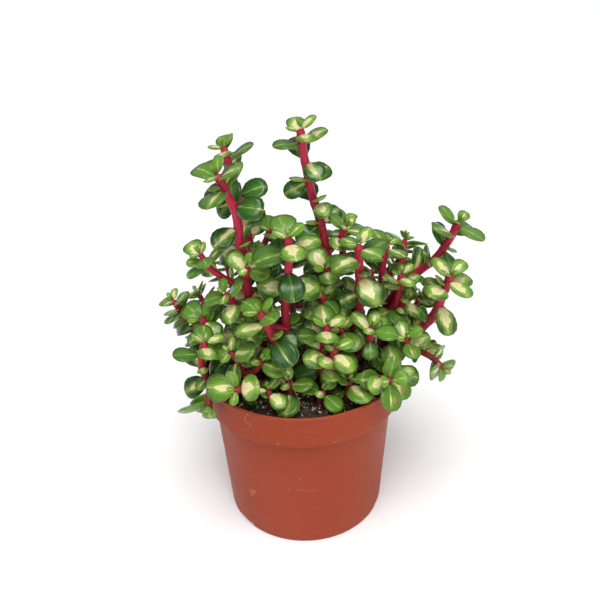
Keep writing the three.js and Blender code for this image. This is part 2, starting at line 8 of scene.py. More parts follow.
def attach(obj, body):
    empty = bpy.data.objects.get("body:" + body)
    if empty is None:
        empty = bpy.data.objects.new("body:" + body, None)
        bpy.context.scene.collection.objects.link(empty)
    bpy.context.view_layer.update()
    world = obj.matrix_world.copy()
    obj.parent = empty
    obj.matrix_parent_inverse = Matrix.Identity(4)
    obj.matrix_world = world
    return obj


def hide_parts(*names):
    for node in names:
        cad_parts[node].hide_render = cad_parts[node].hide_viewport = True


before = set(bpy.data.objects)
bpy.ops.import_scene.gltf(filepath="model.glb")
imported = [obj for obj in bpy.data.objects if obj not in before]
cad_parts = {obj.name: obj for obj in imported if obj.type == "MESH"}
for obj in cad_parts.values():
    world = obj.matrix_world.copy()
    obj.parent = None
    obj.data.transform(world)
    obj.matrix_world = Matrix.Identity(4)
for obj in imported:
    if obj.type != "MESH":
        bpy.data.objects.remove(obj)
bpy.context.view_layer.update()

# A variegated elephant bush in a round plastic nursery pot. Lengths in the tables are millimetres,
# and every finished mesh is in metres, +Z up, with the centre of the pot's foot at the origin.

scene = bpy.context.scene
scene.view_settings.view_transform = "Standard"
MM = 0.001

# ------------------------------------------------------------------------------ camera and stage

CAMERA_PLACE = (0, -0.313, 0.291)
CAMERA_PITCH_DOWN = 25.9
CAMERA_ROLL = -1.9


def set_camera():
    data = bpy.data.cameras.new("camera")
    data.lens = 36
    data.sensor_width = 36
    camera = bpy.data.objects.new("camera", data)
    turn = Matrix.Rotation(math.radians(90 - CAMERA_PITCH_DOWN), 4, "X")
    roll = Matrix.Rotation(math.radians(CAMERA_ROLL), 4, "Z")
    camera.matrix_world = Matrix.Translation(CAMERA_PLACE) @ turn @ roll
    scene.collection.objects.link(camera)
    scene.camera = camera


def soft_light(name, place, aim, size, power):
    data = bpy.data.lights.new(name, "AREA")
    data.shape = "DISK"
    data.size = size
    data.energy = power
    lamp = bpy.data.objects.new(name, data)
    toward = Vector(aim) - Vector(place)
    lamp.matrix_world = Matrix.Translation(place) @ toward.to_track_quat("-Z", "Y").to_matrix().to_4x4()
    scene.collection.objects.link(lamp)


def key_light(direction, strength, softness):
    """A broad soft light from far away; softness is how wide it is, in degrees."""
    data = bpy.data.lights.new("key_light", "SUN")
    data.energy = strength
    data.angle = math.radians(softness)
    lamp = bpy.data.objects.new("key_light", data)
    lamp.matrix_world = Vector(direction).to_track_quat("Z", "Y").to_matrix().to_4x4()
    scene.collection.objects.link(lamp)


set_camera()
soft_light("front_light", (0.3, -0.95, 0.5), (0, 0, 0.12), 0.5, 2.0)
key_light((0.0, -0.38, 1.0), 2.6, 42)

# The studio's white walls: seen at full white, and a little dimmer as light.
WALL_WHITE = 1.0
WALL_LIGHT = 0.36
studio = bpy.data.worlds.new("studio")
studio.use_nodes = True
walls = studio.node_tree
seen = walls.nodes.new("ShaderNodeLightPath").outputs["Is Camera Ray"]
level = walls.nodes.new("ShaderNodeMapRange")
walls.links.new(seen, level.inputs["Value"])
level.inputs["To Min"].default_value = WALL_LIGHT
level.inputs["To Max"].default_value = WALL_WHITE
walls.links.new(level.outputs[0], walls.nodes["Background"].inputs["Strength"])
walls.nodes["Background"].inputs["Color"].default_value = (1, 1, 1, 1)
scene.world = studio

# ---------------------------------------------------------------------------------- node helpers


def put(tree, kind, joins=None, **settings):
    """Adds a node; joins gives each input either a socket to link or a plain value."""
    node = tree.nodes.new(kind)
    for name, value in settings.items():
        setattr(node, name, value)
    for key, value in (joins or {}).items():
        if isinstance(value, bpy.types.NodeSocket):
            tree.links.new(value, node.inputs[key])
        else:
            node.inputs[key].default_value = value
    return node


def calc(tree, operation, *values):
    return put(tree, "ShaderNodeMath", dict(enumerate(values)), operation=operation).outputs[0]


def plus(tree, *values):
    return calc(tree, "ADD", *values)


def minus(tree, *values):
    return calc(tree, "SUBTRACT", *values)


def times(tree, *values):
    return calc(tree, "MULTIPLY", *values)


def vector_calc(tree, operation, *values, scale=None):
    node = put(tree, "ShaderNodeVectorMath", dict(enumerate(values)), operation=operation)
    if scale is not None:
        if isinstance(scale, bpy.types.NodeSocket):
            tree.links.new(scale, node.inputs["Scale"])
        else:
            node.inputs["Scale"].default_value = scale
    return node.outputs["Value" if operation in ("DOT_PRODUCT", "LENGTH") else "Vector"]


def rise(tree, value, start, end):
    """0 below start, 1 above end, smooth in between; a start above the end falls instead."""
    joins = {"Value": value, "From Min": start, "From Max": end}
    return put(tree, "ShaderNodeMapRange", joins, interpolation_type="SMOOTHSTEP").outputs[0]


def spread(tree, value, low, high):
    return put(tree, "ShaderNodeMapRange", {"Value": value, "To Min": low, "To Max": high}).outputs[0]


def tint(tree, share, under, over, blend_type="MIX"):
    joins = {0: share, 6: under, 7: over}
    return put(tree, "ShaderNodeMix", joins, data_type="RGBA", blend_type=blend_type).outputs[2]


def parts_of(tree, vector):
    return put(tree, "ShaderNodeSeparateXYZ", {0: vector}).outputs


def joined(tree, x, y, z):
    return put(tree, "ShaderNodeCombineXYZ", {0: x, 1: y, 2: z}).outputs[0]


def noise(tree, vector, scale, detail=2.0, roughness=0.5):
    joins = {"Vector": vector, "Scale": scale, "Detail": detail, "Roughness": roughness}
    return put(tree, "ShaderNodeTexNoise", joins).outputs[0]


def kept(tree, name, kind="FLOAT"):
    """A geometry tree's reading of a named attribute."""
    return put(tree, "GeometryNodeInputNamedAttribute", {"Name": name}, data_type=kind).outputs[0]


def read(tree, name):
    return put(tree, "ShaderNodeAttribute", attribute_name=name).outputs


# ------------------------------------------------------------------------- shared surface effects


def effect_group(name, inputs, outputs):
    group = bpy.data.node_groups.new(name, "ShaderNodeTree")
    for label, kind, value in inputs:
        socket = group.interface.new_socket(label, in_out="INPUT", socket_type="NodeSocket" + kind)
        socket.default_value = value
    for label, kind in outputs:
        group.interface.new_socket(label, in_out="OUTPUT", socket_type="NodeSocket" + kind)
    return group, group.nodes.new("NodeGroupInput").outputs, group.nodes.new("NodeGroupOutput").inputs


def effect(tree, group, **values):
    node = tree.nodes.new("ShaderNodeGroup")
    node.node_tree = group
    for key, value in values.items():
        label = key.replace("_", " ")
        if isinstance(value, bpy.types.NodeSocket):
            tree.links.new(value, node.inputs[label])
        else:
            node.inputs[label].default_value = value
    return node.outputs


def make_mottle():
    """Soft cloudy patches with finer ones inside them."""
    inputs = [
        ("Place", "Vector", (0, 0, 0)), ("Patches per metre", "Float", 60), ("Fine share", "Float", 0.4),
    ]
    group, given, result = effect_group("mottle", inputs, [("Mask", "Float")])
    broad = noise(group, given["Place"], given["Patches per metre"], 3)
    finer = times(group, given["Patches per metre"], 7)
    fine = noise(group, given["Place"], finer, 3)
    rest = minus(group, 1, given["Fine share"])
    both = plus(group, times(group, broad, rest), times(group, fine, given["Fine share"]))
    group.links.new(rise(group, both, 0.36, 0.64), result["Mask"])
    return group


def make_dust():
    """Sparse specks and a thin film that gathers on what faces up."""
    inputs = [("Place", "Vector", (0, 0, 0)), ("Specks per metre", "Float", 900), ("Amount", "Float", 0.5)]
    group, given, result = effect_group("dust", inputs, [("Mask", "Float")])
    specks = noise(group, given["Place"], given["Specks per metre"], 2, 0.7)
    edge = minus(group, 0.84, times(group, given["Amount"], 0.16))
    facing = parts_of(group, put(group, "ShaderNodeNewGeometry").outputs["Normal"])[2]
    film = times(group, rise(group, facing, 0.2, 1.0), 0.35)
    spots = rise(group, specks, edge, plus(group, edge, 0.06))
    total = plus(group, spots, times(group, film, given["Amount"]))
    group.links.new(calc(group, "MINIMUM", total, 1), result["Mask"])
    return group


MOTTLE = make_mottle()
DUST = make_dust()


def new_material(name):
    material = bpy.data.materials.new(name)
    material.use_nodes = True
    tree = material.node_tree
    place = put(tree, "ShaderNodeTexCoord").outputs["Object"]
    return material, tree, tree.nodes["Principled BSDF"], place


def finish_surface(tree, shader, colour, roughness, height, depth, strength=1.0):
    tree.links.new(colour, shader.inputs["Base Color"])
    tree.links.new(roughness, shader.inputs["Roughness"])
    bump = put(tree, "ShaderNodeBump", {"Height": height, "Distance": depth, "Strength": strength})
    tree.links.new(bump.outputs[0], shader.inputs["Normal"])


# --------------------------------------------------------------------------------------- leaves

DEEP_GREEN = (0.008, 0.060, 0.006, 1)
MID_GREEN = (0.042, 0.22, 0.010, 1)
YOUNG_GREEN = (0.20, 0.42, 0.025, 1)
STRIPE_HALO = (0.32, 0.49, 0.08, 1)
STRIPE_CREAM = (0.80, 0.73, 0.38, 1)
MARGIN_PALE = (0.24, 0.42, 0.04, 1)
MARGIN_PINK = (0.55, 0.11, 0.09, 1)
JOINT_PINK = (0.56, 0.06, 0.075, 1)
UNDERSIDE = (0.14, 0.26, 0.05, 1)
SCAR_BROWN = (0.42, 0.19, 0.08, 1)


def leaf_material():
    """Glossy green blade with a ragged cream stripe, a pale or pink margin and a pink joint.

    blade_place is (share of the length, share of the width, underside to top), and leaf_traits is
    (a number of its own, 1 if young, the stripe's width)."""
    material, tree, shader, place = new_material("variegated_leaf")
    along, across, top = parts_of(tree, read(tree, "blade_place")["Vector"])
    seed, young, stripe = parts_of(tree, read(tree, "leaf_traits")["Vector"])
    own = times(tree, seed, 47)
    lateral = calc(tree, "ABSOLUTE", across)
    from_middle = minus(tree, times(tree, along, 2), 1)
    rim = calc(tree, "SQRT", plus(tree, calc(tree, "POWER", from_middle, 2), calc(tree, "POWER", across, 2)))

    # Streaks run the length of the blade, and the stripe's edge breaks up along them.
    streaks = noise(tree, joined(tree, times(tree, along, 3.0), times(tree, across, 13), own), 1, 3, 0.6)
    ragged = noise(tree, joined(tree, times(tree, along, 5), times(tree, across, 2.2), own), 1, 2)
    starts = rise(tree, along, -0.15, 0.10)
    taper = spread(tree, along, 1.55, 0.25)
    ends = rise(tree, plus(tree, along, times(tree, minus(tree, streaks, 0.5), 0.5)), 0.86, 0.58)
    body = times(tree, times(tree, starts, ends), spread(tree, ragged, 0.2, 1.8))
    body = times(tree, body, taper)
    half = times(tree, stripe, body)
    breakup = times(tree, minus(tree, streaks, 0.5), 0.7)
    inside = plus(tree, minus(tree, half, lateral), times(tree, breakup, starts))
    cream = rise(tree, inside, 0.0, 0.09)
    halo = rise(tree, plus(tree, inside, plus(tree, 0.24, times(tree, stripe, 0.6))), 0.0, 0.5)

    patches = effect(tree, MOTTLE, Place=place, Patches_per_metre=130.0, Fine_share=0.35)["Mask"]
    depth_of_green = plus(tree, times(tree, patches, 0.25), times(tree, seed, 0.6))
    # The blade is deeper green towards its edge.
    edge_depth = times(tree, rise(tree, rim, 0.25, 0.9), 0.45)
    # Painted shade: leaves low on the plant, under the foliage, are darkened towards deep green.
    painted_low_shade = times(tree, rise(tree, parts_of(tree, place)[2], 0.165, 0.105), 0.35)
    depth = plus(tree, plus(tree, depth_of_green, edge_depth), painted_low_shade)
    green = tint(tree, calc(tree, "MINIMUM", depth, 1), MID_GREEN, DEEP_GREEN)
    green = tint(tree, times(tree, young, 0.58), green, YOUNG_GREEN)
    fine_streaks = rise(tree, streaks, 0.42, 0.62)
    green = tint(tree, times(tree, fine_streaks, 0.07), green, STRIPE_HALO)
    on_top = rise(tree, top, -0.5, -0.1)
    green = tint(tree, times(tree, minus(tree, 1, on_top), 0.5), green, UNDERSIDE)
    colour = tint(tree, times(tree, halo, 0.68), green, STRIPE_HALO)
    colour = tint(tree, times(tree, cream, spread(tree, on_top, 0.35, 0.96)), colour, STRIPE_CREAM)
    midrib = times(tree, rise(tree, lateral, 0.045, 0.012), rise(tree, along, 0.9, 0.5))
    colour = tint(tree, times(tree, midrib, 0.22), colour, STRIPE_HALO)

    margin = rise(tree, rim, 0.90, 0.975)
    colour = tint(tree, times(tree, margin, 0.5), colour, MARGIN_PALE)
    pink_share = times(tree, rise(tree, rim, 0.955, 0.995), spread(tree, young, 0.16, 0.62))
    colour = tint(tree, pink_share, colour, MARGIN_PINK)
    near_joint = times(tree, rise(tree, along, 0.13, 0.02), spread(tree, young, 0.7, 0.95))
    colour = tint(tree, near_joint, colour, JOINT_PINK)
    few = calc(tree, "GREATER_THAN", seed, 0.975)
    scar_along = calc(tree, "POWER", minus(tree, along, 0.62), 2)
    scar_across = calc(tree, "POWER", minus(tree, across, 0.3), 2)
    scar_place = plus(tree, scar_along, scar_across)
    scar = times(tree, few, rise(tree, plus(tree, scar_place, times(tree, breakup, 0.12)), 0.018, 0.006))
    colour = tint(tree, scar, colour, SCAR_BROWN)
    specks = effect(tree, DUST, Place=place, Specks_per_metre=1100.0, Amount=0.35)["Mask"]
    colour = tint(tree, times(tree, specks, 0.25), colour, (0.5, 0.55, 0.42, 1))

    roughness = plus(tree, spread(tree, patches, 0.15, 0.24), times(tree, specks, 0.2))
    groove = times(tree, rise(tree, lateral, 0.0, 0.09), 0.5)
    height = plus(tree, groove, plus(tree, times(tree, streaks, 0.08), times(tree, patches, 0.2)))
    finish_surface(tree, shader, colour, roughness, height, 0.00035, 0.7)
    shader.inputs["Specular IOR Level"].default_value = 0.34
    shader.inputs["Coat Weight"].default_value = 0.14
    shader.inputs["Coat Roughness"].default_value = 0.1
    shader.inputs["Subsurface Weight"].default_value = 0.12
    shader.inputs["Subsurface Radius"].default_value = (0.35, 0.7, 0.15)
    shader.inputs["Subsurface Scale"].default_value = 0.0015
    return material


# ---------------------------------------------------------------------------------------- stems

STEM_CRIMSON = (0.44, 0.006, 0.030, 1)
STEM_BRIGHT = (0.60, 0.013, 0.072, 1)
STEM_OLD = (0.17, 0.032, 0.022, 1)
STEM_JOINT = (0.24, 0.018, 0.028, 1)


def stem_material():
    """Smooth crimson stem, brighter near the tip, brown low down, with a darker ring at each joint.

    stem_place is (share of the length, distance from the nearest joint in millimetres, zero)."""
    material, tree, shader, place = new_material("crimson_stem")
    along, from_joint = parts_of(tree, read(tree, "stem_place")["Vector"])[:2]
    height_above_foot = parts_of(tree, place)[2]
    patches = effect(tree, MOTTLE, Place=place, Patches_per_metre=110.0, Fine_share=0.5)["Mask"]
    stretched = vector_calc(tree, "MULTIPLY", place, (1, 1, 0.12))
    fibres = noise(tree, stretched, 1500, 2, 0.6)
    colour = tint(tree, rise(tree, along, 0.35, 1.0), STEM_CRIMSON, STEM_BRIGHT)
    colour = tint(tree, times(tree, patches, 0.35), colour, STEM_JOINT)
    old = plus(tree, rise(tree, height_above_foot, 0.150, 0.100), times(tree, patches, 0.12))
    colour = tint(tree, calc(tree, "MINIMUM", times(tree, old, 0.75), 1), colour, STEM_OLD)
    ring = rise(tree, from_joint, 0.75, 0.2)
    colour = tint(tree, times(tree, ring, 0.65), colour, STEM_JOINT)
    colour = tint(tree, times(tree, rise(tree, fibres, 0.5, 0.72), 0.22), colour, (0.68, 0.12, 0.14, 1))
    roughness = spread(tree, patches, 0.36, 0.5)
    height = plus(tree, times(tree, fibres, 0.5), times(tree, ring, -0.5))
    finish_surface(tree, shader, colour, roughness, height, 0.00025, 0.6)
    shader.inputs["Specular IOR Level"].default_value = 0.3
    return material


# ----------------------------------------------------------------------------- pot, mix and fibres

POT_TERRACOTTA = (0.35, 0.049, 0.014, 1)
POT_DEEPER = (0.31, 0.044, 0.014, 1)
POT_PALE = (0.42, 0.08, 0.03, 1)
POT_SCUFF = (0.60, 0.30, 0.20, 1)
POT_BRUISE = (0.16, 0.030, 0.016, 1)

# Marks on the pot's side: direction round the pot and height of the middle, half length and half
# width in millimetres, tilt in degrees, strength, and whether it is a dark one.
POT_MARKS = [
    (231.9, 32.5, 3.4, 2.6, 20, 0.42, False),
    (230.5, 29.5, 2.4, 0.7, 60, 0.45, False),
    (267.5, 43.4, 10.5, 0.30, 0, 0.42, False),
    (259.4, 43.8, 1.0, 0.5, 0, 0.70, False),
    (267.0, 52.5, 1.6, 0.3, 55, 0.50, False),
    (321.0, 34.0, 9.0, 0.40, 40, 0.42, False),
    (276.9, 87.4, 1.5, 0.42, 10, 0.75, True),
    (281.8, 87.7, 1.6, 0.45, 6, 0.75, True),
    (289.0, 91.5, 1.2, 0.35, 70, 0.50, True),
    (256.1, 81.8, 1.0, 0.55, 0, 0.50, False),
    (285.6, 81.6, 0.8, 0.5, 0, 0.50, False),
]


def make_mark():
    """One scuff or scratch on the side of the pot, broken up by fine noise."""
    inputs = [
        ("Place", "Vector", (0, 0, 0)), ("Direction", "Float", 0), ("Height", "Float", 0),
        ("Half length", "Float", 0.01), ("Half width", "Float", 0.001), ("Tilt", "Float", 0),
    ]
    group, given, result = effect_group("pot_mark", inputs, [("Mask", "Float")])
    x, y, z = parts_of(group, given["Place"])
    radius = calc(group, "SQRT", plus(group, calc(group, "POWER", x, 2), calc(group, "POWER", y, 2)))
    c, s = calc(group, "COSINE", given["Direction"]), calc(group, "SINE", given["Direction"])
    # How far round the pot, measured along its side, and only on the side that the mark is on.
    sideways = minus(group, times(group, y, c), times(group, x, s))
    outward = plus(group, times(group, x, c), times(group, y, s))
    upward = minus(group, z, given["Height"])
    tc, ts = calc(group, "COSINE", given["Tilt"]), calc(group, "SINE", given["Tilt"])
    lengthways = plus(group, times(group, sideways, tc), times(group, upward, ts))
    widthways = minus(group, times(group, upward, tc), times(group, sideways, ts))
    wander = times(group, minus(group, noise(group, given["Place"], 260, 2), 0.5), 0.0016)
    widthways = plus(group, widthways, wander)
    ratio_long = calc(group, "DIVIDE", calc(group, "ABSOLUTE", lengthways), given["Half length"])
    ratio_wide = calc(group, "DIVIDE", calc(group, "ABSOLUTE", widthways), given["Half width"])
    shape = times(group, rise(group, ratio_long, 1.0, 0.55), rise(group, ratio_wide, 1.0, 0.3))
    broken = rise(group, noise(group, given["Place"], 900, 2, 0.7), 0.38, 0.56)
    here = times(group, shape, broken)
    on_side = calc(group, "GREATER_THAN", outward, times(group, radius, 0.5))
    group.links.new(times(group, here, on_side), result["Mask"])
    return group


def pot_material():
    """Moulded terracotta-coloured plastic: satin, faintly banded, scuffed and a little dusty."""
    material, tree, shader, place = new_material("terracotta_plastic")
    patches = effect(tree, MOTTLE, Place=place, Patches_per_metre=22.0, Fine_share=0.25)["Mask"]
    colour = tint(tree, times(tree, patches, 0.45), POT_TERRACOTTA, POT_DEEPER)
    bands = noise(tree, vector_calc(tree, "MULTIPLY", place, (0.06, 0.06, 1)), 420, 2)
    colour = tint(tree, times(tree, rise(tree, bands, 0.52, 0.75), 0.12), colour, POT_PALE)
    film = effect(tree, DUST, Place=place, Specks_per_metre=1500.0, Amount=0.5)["Mask"]
    colour = tint(tree, times(tree, film, 0.18), colour, POT_SCUFF)
    grain = noise(tree, place, 1300, 2, 0.7)
    colour = tint(tree, times(tree, rise(tree, grain, 0.62, 0.38), 0.30), colour, POT_BRUISE)
    mark_group = make_mark()
    pale_marks = None
    for direction, height, half_length, half_width, tilt, strength, dark in POT_MARKS:
        mask = effect(
            tree, mark_group, Place=place, Direction=math.radians(direction), Height=height * MM,
            Half_length=half_length * MM, Half_width=half_width * MM, Tilt=math.radians(tilt),
        )["Mask"]
        mask = times(tree, mask, strength)
        colour = tint(tree, mask, colour, POT_BRUISE if dark else POT_SCUFF)
        pale_marks = mask if pale_marks is None else calc(tree, "MAXIMUM", pale_marks, mask)
    roughness = plus(tree, spread(tree, patches, 0.46, 0.56), times(tree, pale_marks, 0.25))
    relief = plus(tree, times(tree, grain, 0.25), times(tree, bands, 0.5))
    height = minus(tree, relief, times(tree, pale_marks, 0.4))
    finish_surface(tree, shader, colour, roughness, height, 0.0002, 0.5)
    shader.inputs["Specular IOR Level"].default_value = 0.2
    return material


def mix_material():
    """Dark damp potting mix."""
    material, tree, shader, place = new_material("potting_mix")
    crumbs = noise(tree, place, 700, 4, 0.7)
    patches = effect(tree, MOTTLE, Place=place, Patches_per_metre=90.0, Fine_share=0.6)["Mask"]
    colour = tint(tree, rise(tree, crumbs, 0.35, 0.7), (0.010, 0.007, 0.005, 1), (0.065, 0.042, 0.027, 1))
    colour = tint(tree, times(tree, patches, 0.5), colour, (0.022, 0.014, 0.010, 1))
    finish_surface(tree, shader, colour, spread(tree, crumbs, 0.8, 1.0), crumbs, 0.0012)
    return material


def grit_material():
    """Chips of bark and pale grit, each chip of its own shade by chip_tone."""
    material, tree, shader, place = new_material("bark_and_grit")
    tone = read(tree, "chip_tone")["Fac"]
    grain = noise(tree, place, 1600, 3, 0.6)
    colour = tint(tree, rise(tree, tone, 0.10, 0.52), (0.014, 0.009, 0.006, 1), (0.12, 0.066, 0.036, 1))
    colour = tint(tree, rise(tree, tone, 0.52, 0.70), colour, (0.48, 0.34, 0.22, 1))
    colour = tint(tree, rise(tree, tone, 0.80, 0.92), colour, (0.80, 0.72, 0.60, 1))
    colour = tint(tree, times(tree, rise(tree, grain, 0.45, 0.7), 0.4), colour, (0.06, 0.035, 0.02, 1))
    finish_surface(tree, shader, colour, spread(tree, grain, 0.7, 0.95), grain, 0.0004)
    return material


def fibre_material():
    """Dry root hair and straw."""
    material, tree, shader, place = new_material("dry_fibre")
    grain = noise(tree, place, 600, 2)
    colour = tint(tree, grain, (0.42, 0.20, 0.12, 1), (0.58, 0.40, 0.27, 1))
    finish_surface(tree, shader, colour, spread(tree, grain, 0.6, 0.8), grain, 0.0001)
    return material


LEAF = leaf_material()
STEM = stem_material()
POT = pot_material()
MIX = mix_material()
GRIT = grit_material()
FIBRE = fibre_material()

# ---------------------------------------------------------------------------------- geometry trees


def geometry_tree(name, inputs):
    tree = bpy.data.node_groups.new(name, "GeometryNodeTree")
    tree.interface.new_socket("Geometry", in_out="INPUT", socket_type="NodeSocketGeometry")
    for label, kind in inputs:
        tree.interface.new_socket(label, in_out="INPUT", socket_type="NodeSocket" + kind)
    tree.interface.new_socket("Geometry", in_out="OUTPUT", socket_type="NodeSocketGeometry")
    return tree, tree.nodes.new("NodeGroupInput").outputs, tree.nodes.new("NodeGroupOutput").inputs


def grown(tree, name, start, **values):
    """Runs a geometry tree on a mesh and gives its result back as a plain mesh object."""
    piece = bpy.data.objects.new(name, start)
    scene.collection.objects.link(piece)
    modifier = piece.modifiers.new("grow", "NODES")
    modifier.node_group = tree
    for item in tree.interface.items_tree:
        label = item.name.replace(" ", "_")
        if item.in_out == "INPUT" and label in values:
            modifier[item.identifier] = values[label]
    made = piece.evaluated_get(bpy.context.evaluated_depsgraph_get())
    mesh = bpy.data.meshes.new_from_object(made)
    piece.modifiers.remove(modifier)
    piece.data = mesh
    mesh.name = name
    return piece


def smoothed(tree, geometry, material, result):
    geometry = put(tree, "GeometryNodeRealizeInstances", {0: geometry}).outputs[0]
    geometry = put(tree, "GeometryNodeSetShadeSmooth", {0: geometry}).outputs[0]
    geometry = put(tree, "GeometryNodeSetMaterial", {"Geometry": geometry, "Material": material}).outputs[0]
    tree.links.new(geometry, result[0])


# Rows of the plain blade from its underside to its top: reach from the middle, and height.
BLADE_ROWS = [(0.74, -0.80), (1.0, -0.02), (0.70, 0.82)]
BLADE_SIDES = 16


def plain_blade():
    """A closed round cushion of few faces, which the leaf tree shapes into each leaf."""
    points = [(0, 0, -1)]
    for reach, height in BLADE_ROWS:
        for k in range(BLADE_SIDES):
            turn = 2 * math.pi * k / BLADE_SIDES
            points.append((reach * math.cos(turn), reach * math.sin(turn), height))
    points.append((0, 0, 1))
    top = len(points) - 1
    first = [1 + BLADE_SIDES * row for row in range(len(BLADE_ROWS))]
    faces = []
    for k in range(BLADE_SIDES):
        n = (k + 1) % BLADE_SIDES
        faces.append((0, first[0] + n, first[0] + k))
        for low, high in zip(first, first[1:]):
            faces.append((low + k, low + n, high + n, high + k))
        faces.append((first[-1] + k, first[-1] + n, top))
    mesh = bpy.data.meshes.new("plain_blade")
    mesh.from_pydata(points, [], faces)
    blade = bpy.data.objects.new("plain_blade", mesh)
    scene.collection.objects.link(blade)
    return blade


def leaf_tree():
    """Sets a blade at every point and bends each one by its own measures."""
    inputs = [("Blade", "Object"), ("Joint narrowing", "Float"), ("Finish", "Material")]
    tree, given, result = geometry_tree("leaf_spray", inputs)
    blade = put(tree, "GeometryNodeObjectInfo", {"Object": given["Blade"]}).outputs["Geometry"]
    blade = put(tree, "GeometryNodeStoreNamedAttribute", {
        "Geometry": blade, "Name": "plain_place",
        "Value": put(tree, "GeometryNodeInputPosition").outputs[0],
    }, data_type="FLOAT_VECTOR").outputs[0]
    points_and_blade = {"Points": given["Geometry"], "Instance": blade}
    set_on = put(tree, "GeometryNodeInstanceOnPoints", points_and_blade).outputs[0]
    leaves = put(tree, "GeometryNodeRealizeInstances", {0: set_on}).outputs[0]

    plain = kept(tree, "plain_place", "FLOAT_VECTOR")
    x, y, z = parts_of(tree, plain)
    axis, face, base = (kept(tree, name, "FLOAT_VECTOR") for name in ("leaf_axis", "leaf_face", "leaf_base"))
    side = vector_calc(tree, "CROSS_PRODUCT", face, axis)
    length, width, thick = parts_of(tree, kept(tree, "leaf_size", "FLOAT_VECTOR"))
    curl, cup, fold = parts_of(tree, kept(tree, "leaf_bend", "FLOAT_VECTOR"))
    seed = parts_of(tree, kept(tree, "leaf_traits", "FLOAT_VECTOR"))[0]

    u = calc(tree, "DIVIDE", plus(tree, x, 1), 2)
    u2 = times(tree, u, u)
    open_up = rise(tree, u, -0.04, 0.30)
    widening = times(tree, open_up, minus(tree, 1, given["Joint narrowing"]))
    narrow = plus(tree, given["Joint narrowing"], widening)
    outline = plus(tree, 0.35, times(tree, u, 0.26))
    edge_wave = calc(tree, "SINE", plus(tree, times(tree, x, 4), times(tree, seed, 40)))
    uneven = plus(tree, 1, times(tree, edge_wave, 0.035))
    reach = times(tree, times(tree, width, y), times(tree, outline, times(tree, narrow, uneven)))
    sway = times(tree, times(tree, minus(tree, seed, 0.5), 0.14), times(tree, length, u2))
    reach = plus(tree, reach, sway)
    lift = times(tree, times(tree, curl, length), u2)
    dish = times(tree, times(tree, cup, width), times(tree, times(tree, y, y), 0.5))
    crease = times(tree, times(tree, fold, width), times(tree, calc(tree, "ABSOLUTE", y), 0.5))
    body = times(tree, times(tree, thick, z), minus(tree, 1.12, times(tree, u, 0.3)))
    up = plus(tree, plus(tree, lift, dish), plus(tree, crease, body))
    where = vector_calc(tree, "ADD", base, vector_calc(tree, "SCALE", axis, scale=times(tree, length, u)))
    where = vector_calc(tree, "ADD", where, vector_calc(tree, "SCALE", side, scale=reach))
    where = vector_calc(tree, "ADD", where, vector_calc(tree, "SCALE", face, scale=up))
    leaves = put(tree, "GeometryNodeSetPosition", {"Geometry": leaves, "Position": where}).outputs[0]
    leaves = put(tree, "GeometryNodeStoreNamedAttribute", {
        "Geometry": leaves, "Name": "blade_place", "Value": joined(tree, u, y, z),
    }, data_type="FLOAT_VECTOR").outputs[0]
    smoothed(tree, leaves, given["Finish"], result)
    return tree


def stem_tree():
    """Gives every line a round skin whose radius is the line's own girth at each point."""
    tree, given, result = geometry_tree("stem_skin", [("Sides", "Int"), ("Finish", "Material")])
    line = put(tree, "GeometryNodeMeshToCurve", {"Mesh": given["Geometry"]}).outputs[0]
    circle = {"Resolution": given["Sides"], "Radius": 1.0}
    ring = put(tree, "GeometryNodeCurvePrimitiveCircle", circle).outputs[0]
    skin = put(tree, "GeometryNodeCurveToMesh", {
        "Curve": line, "Profile Curve": ring, "Scale": kept(tree, "girth"), "Fill Caps": True,
    }).outputs[0]
    smoothed(tree, skin, given["Finish"], result)
    return tree


def grit_tree():
    """Scatters small angular chips over the mix, turned and sized at random from a fixed seed."""
    inputs = [
        ("Chips per square metre", "Float"), ("Chip size", "Float"), ("Seed", "Int"), ("Finish", "Material"),
    ]
    tree, given, result = geometry_tree("grit_scatter", inputs)
    points = put(tree, "GeometryNodeDistributePointsOnFaces", {
        "Mesh": given["Geometry"], "Density": given["Chips per square metre"], "Seed": given["Seed"],
    }).outputs["Points"]

    def draw(kind, low, high, offset):
        seed = plus(tree, given["Seed"], offset)
        node = put(tree, "FunctionNodeRandomValue", {"Seed": seed}, data_type=kind)
        sockets = [s for s in node.inputs if s.enabled and s.name in ("Min", "Max")]
        sockets[0].default_value, sockets[1].default_value = low, high
        return next(s for s in node.outputs if s.enabled)

    points = put(tree, "GeometryNodeStoreNamedAttribute", {
        "Geometry": points, "Name": "chip_tone", "Value": draw("FLOAT", 0.0, 1.0, 1),
    }).outputs[0]
    chip = put(tree, "GeometryNodeMeshIcoSphere", {"Radius": given["Chip size"], "Subdivisions": 1}).outputs[0]
    turn = draw("FLOAT_VECTOR", (0, 0, 0), (6.28, 6.28, 6.28), 2)
    size = draw("FLOAT_VECTOR", (0.35, 0.25, 0.18), (1.5, 0.9, 0.6), 3)
    size = vector_calc(tree, "SCALE", size, scale=draw("FLOAT", 0.5, 1.15, 4))
    chips = put(tree, "GeometryNodeInstanceOnPoints", {
        "Points": points, "Instance": chip, "Rotation": turn, "Scale": size,
    }).outputs[0]
    chips = put(tree, "GeometryNodeRealizeInstances", {0: chips}).outputs[0]
    chips = put(tree, "GeometryNodeSetMaterial", {"Geometry": chips, "Material": given["Finish"]}).outputs[0]
    tree.links.new(chips, result[0])
    return tree


LEAF_SPRAY = leaf_tree()
STEM_SKIN = stem_tree()
GRIT_SCATTER = grit_tree()

# ---------------------------------------------------------------------- how the plant has grown

POT_HEIGHT = 99
SOIL_TOP = 92
ROOT_BOTTOM = 80

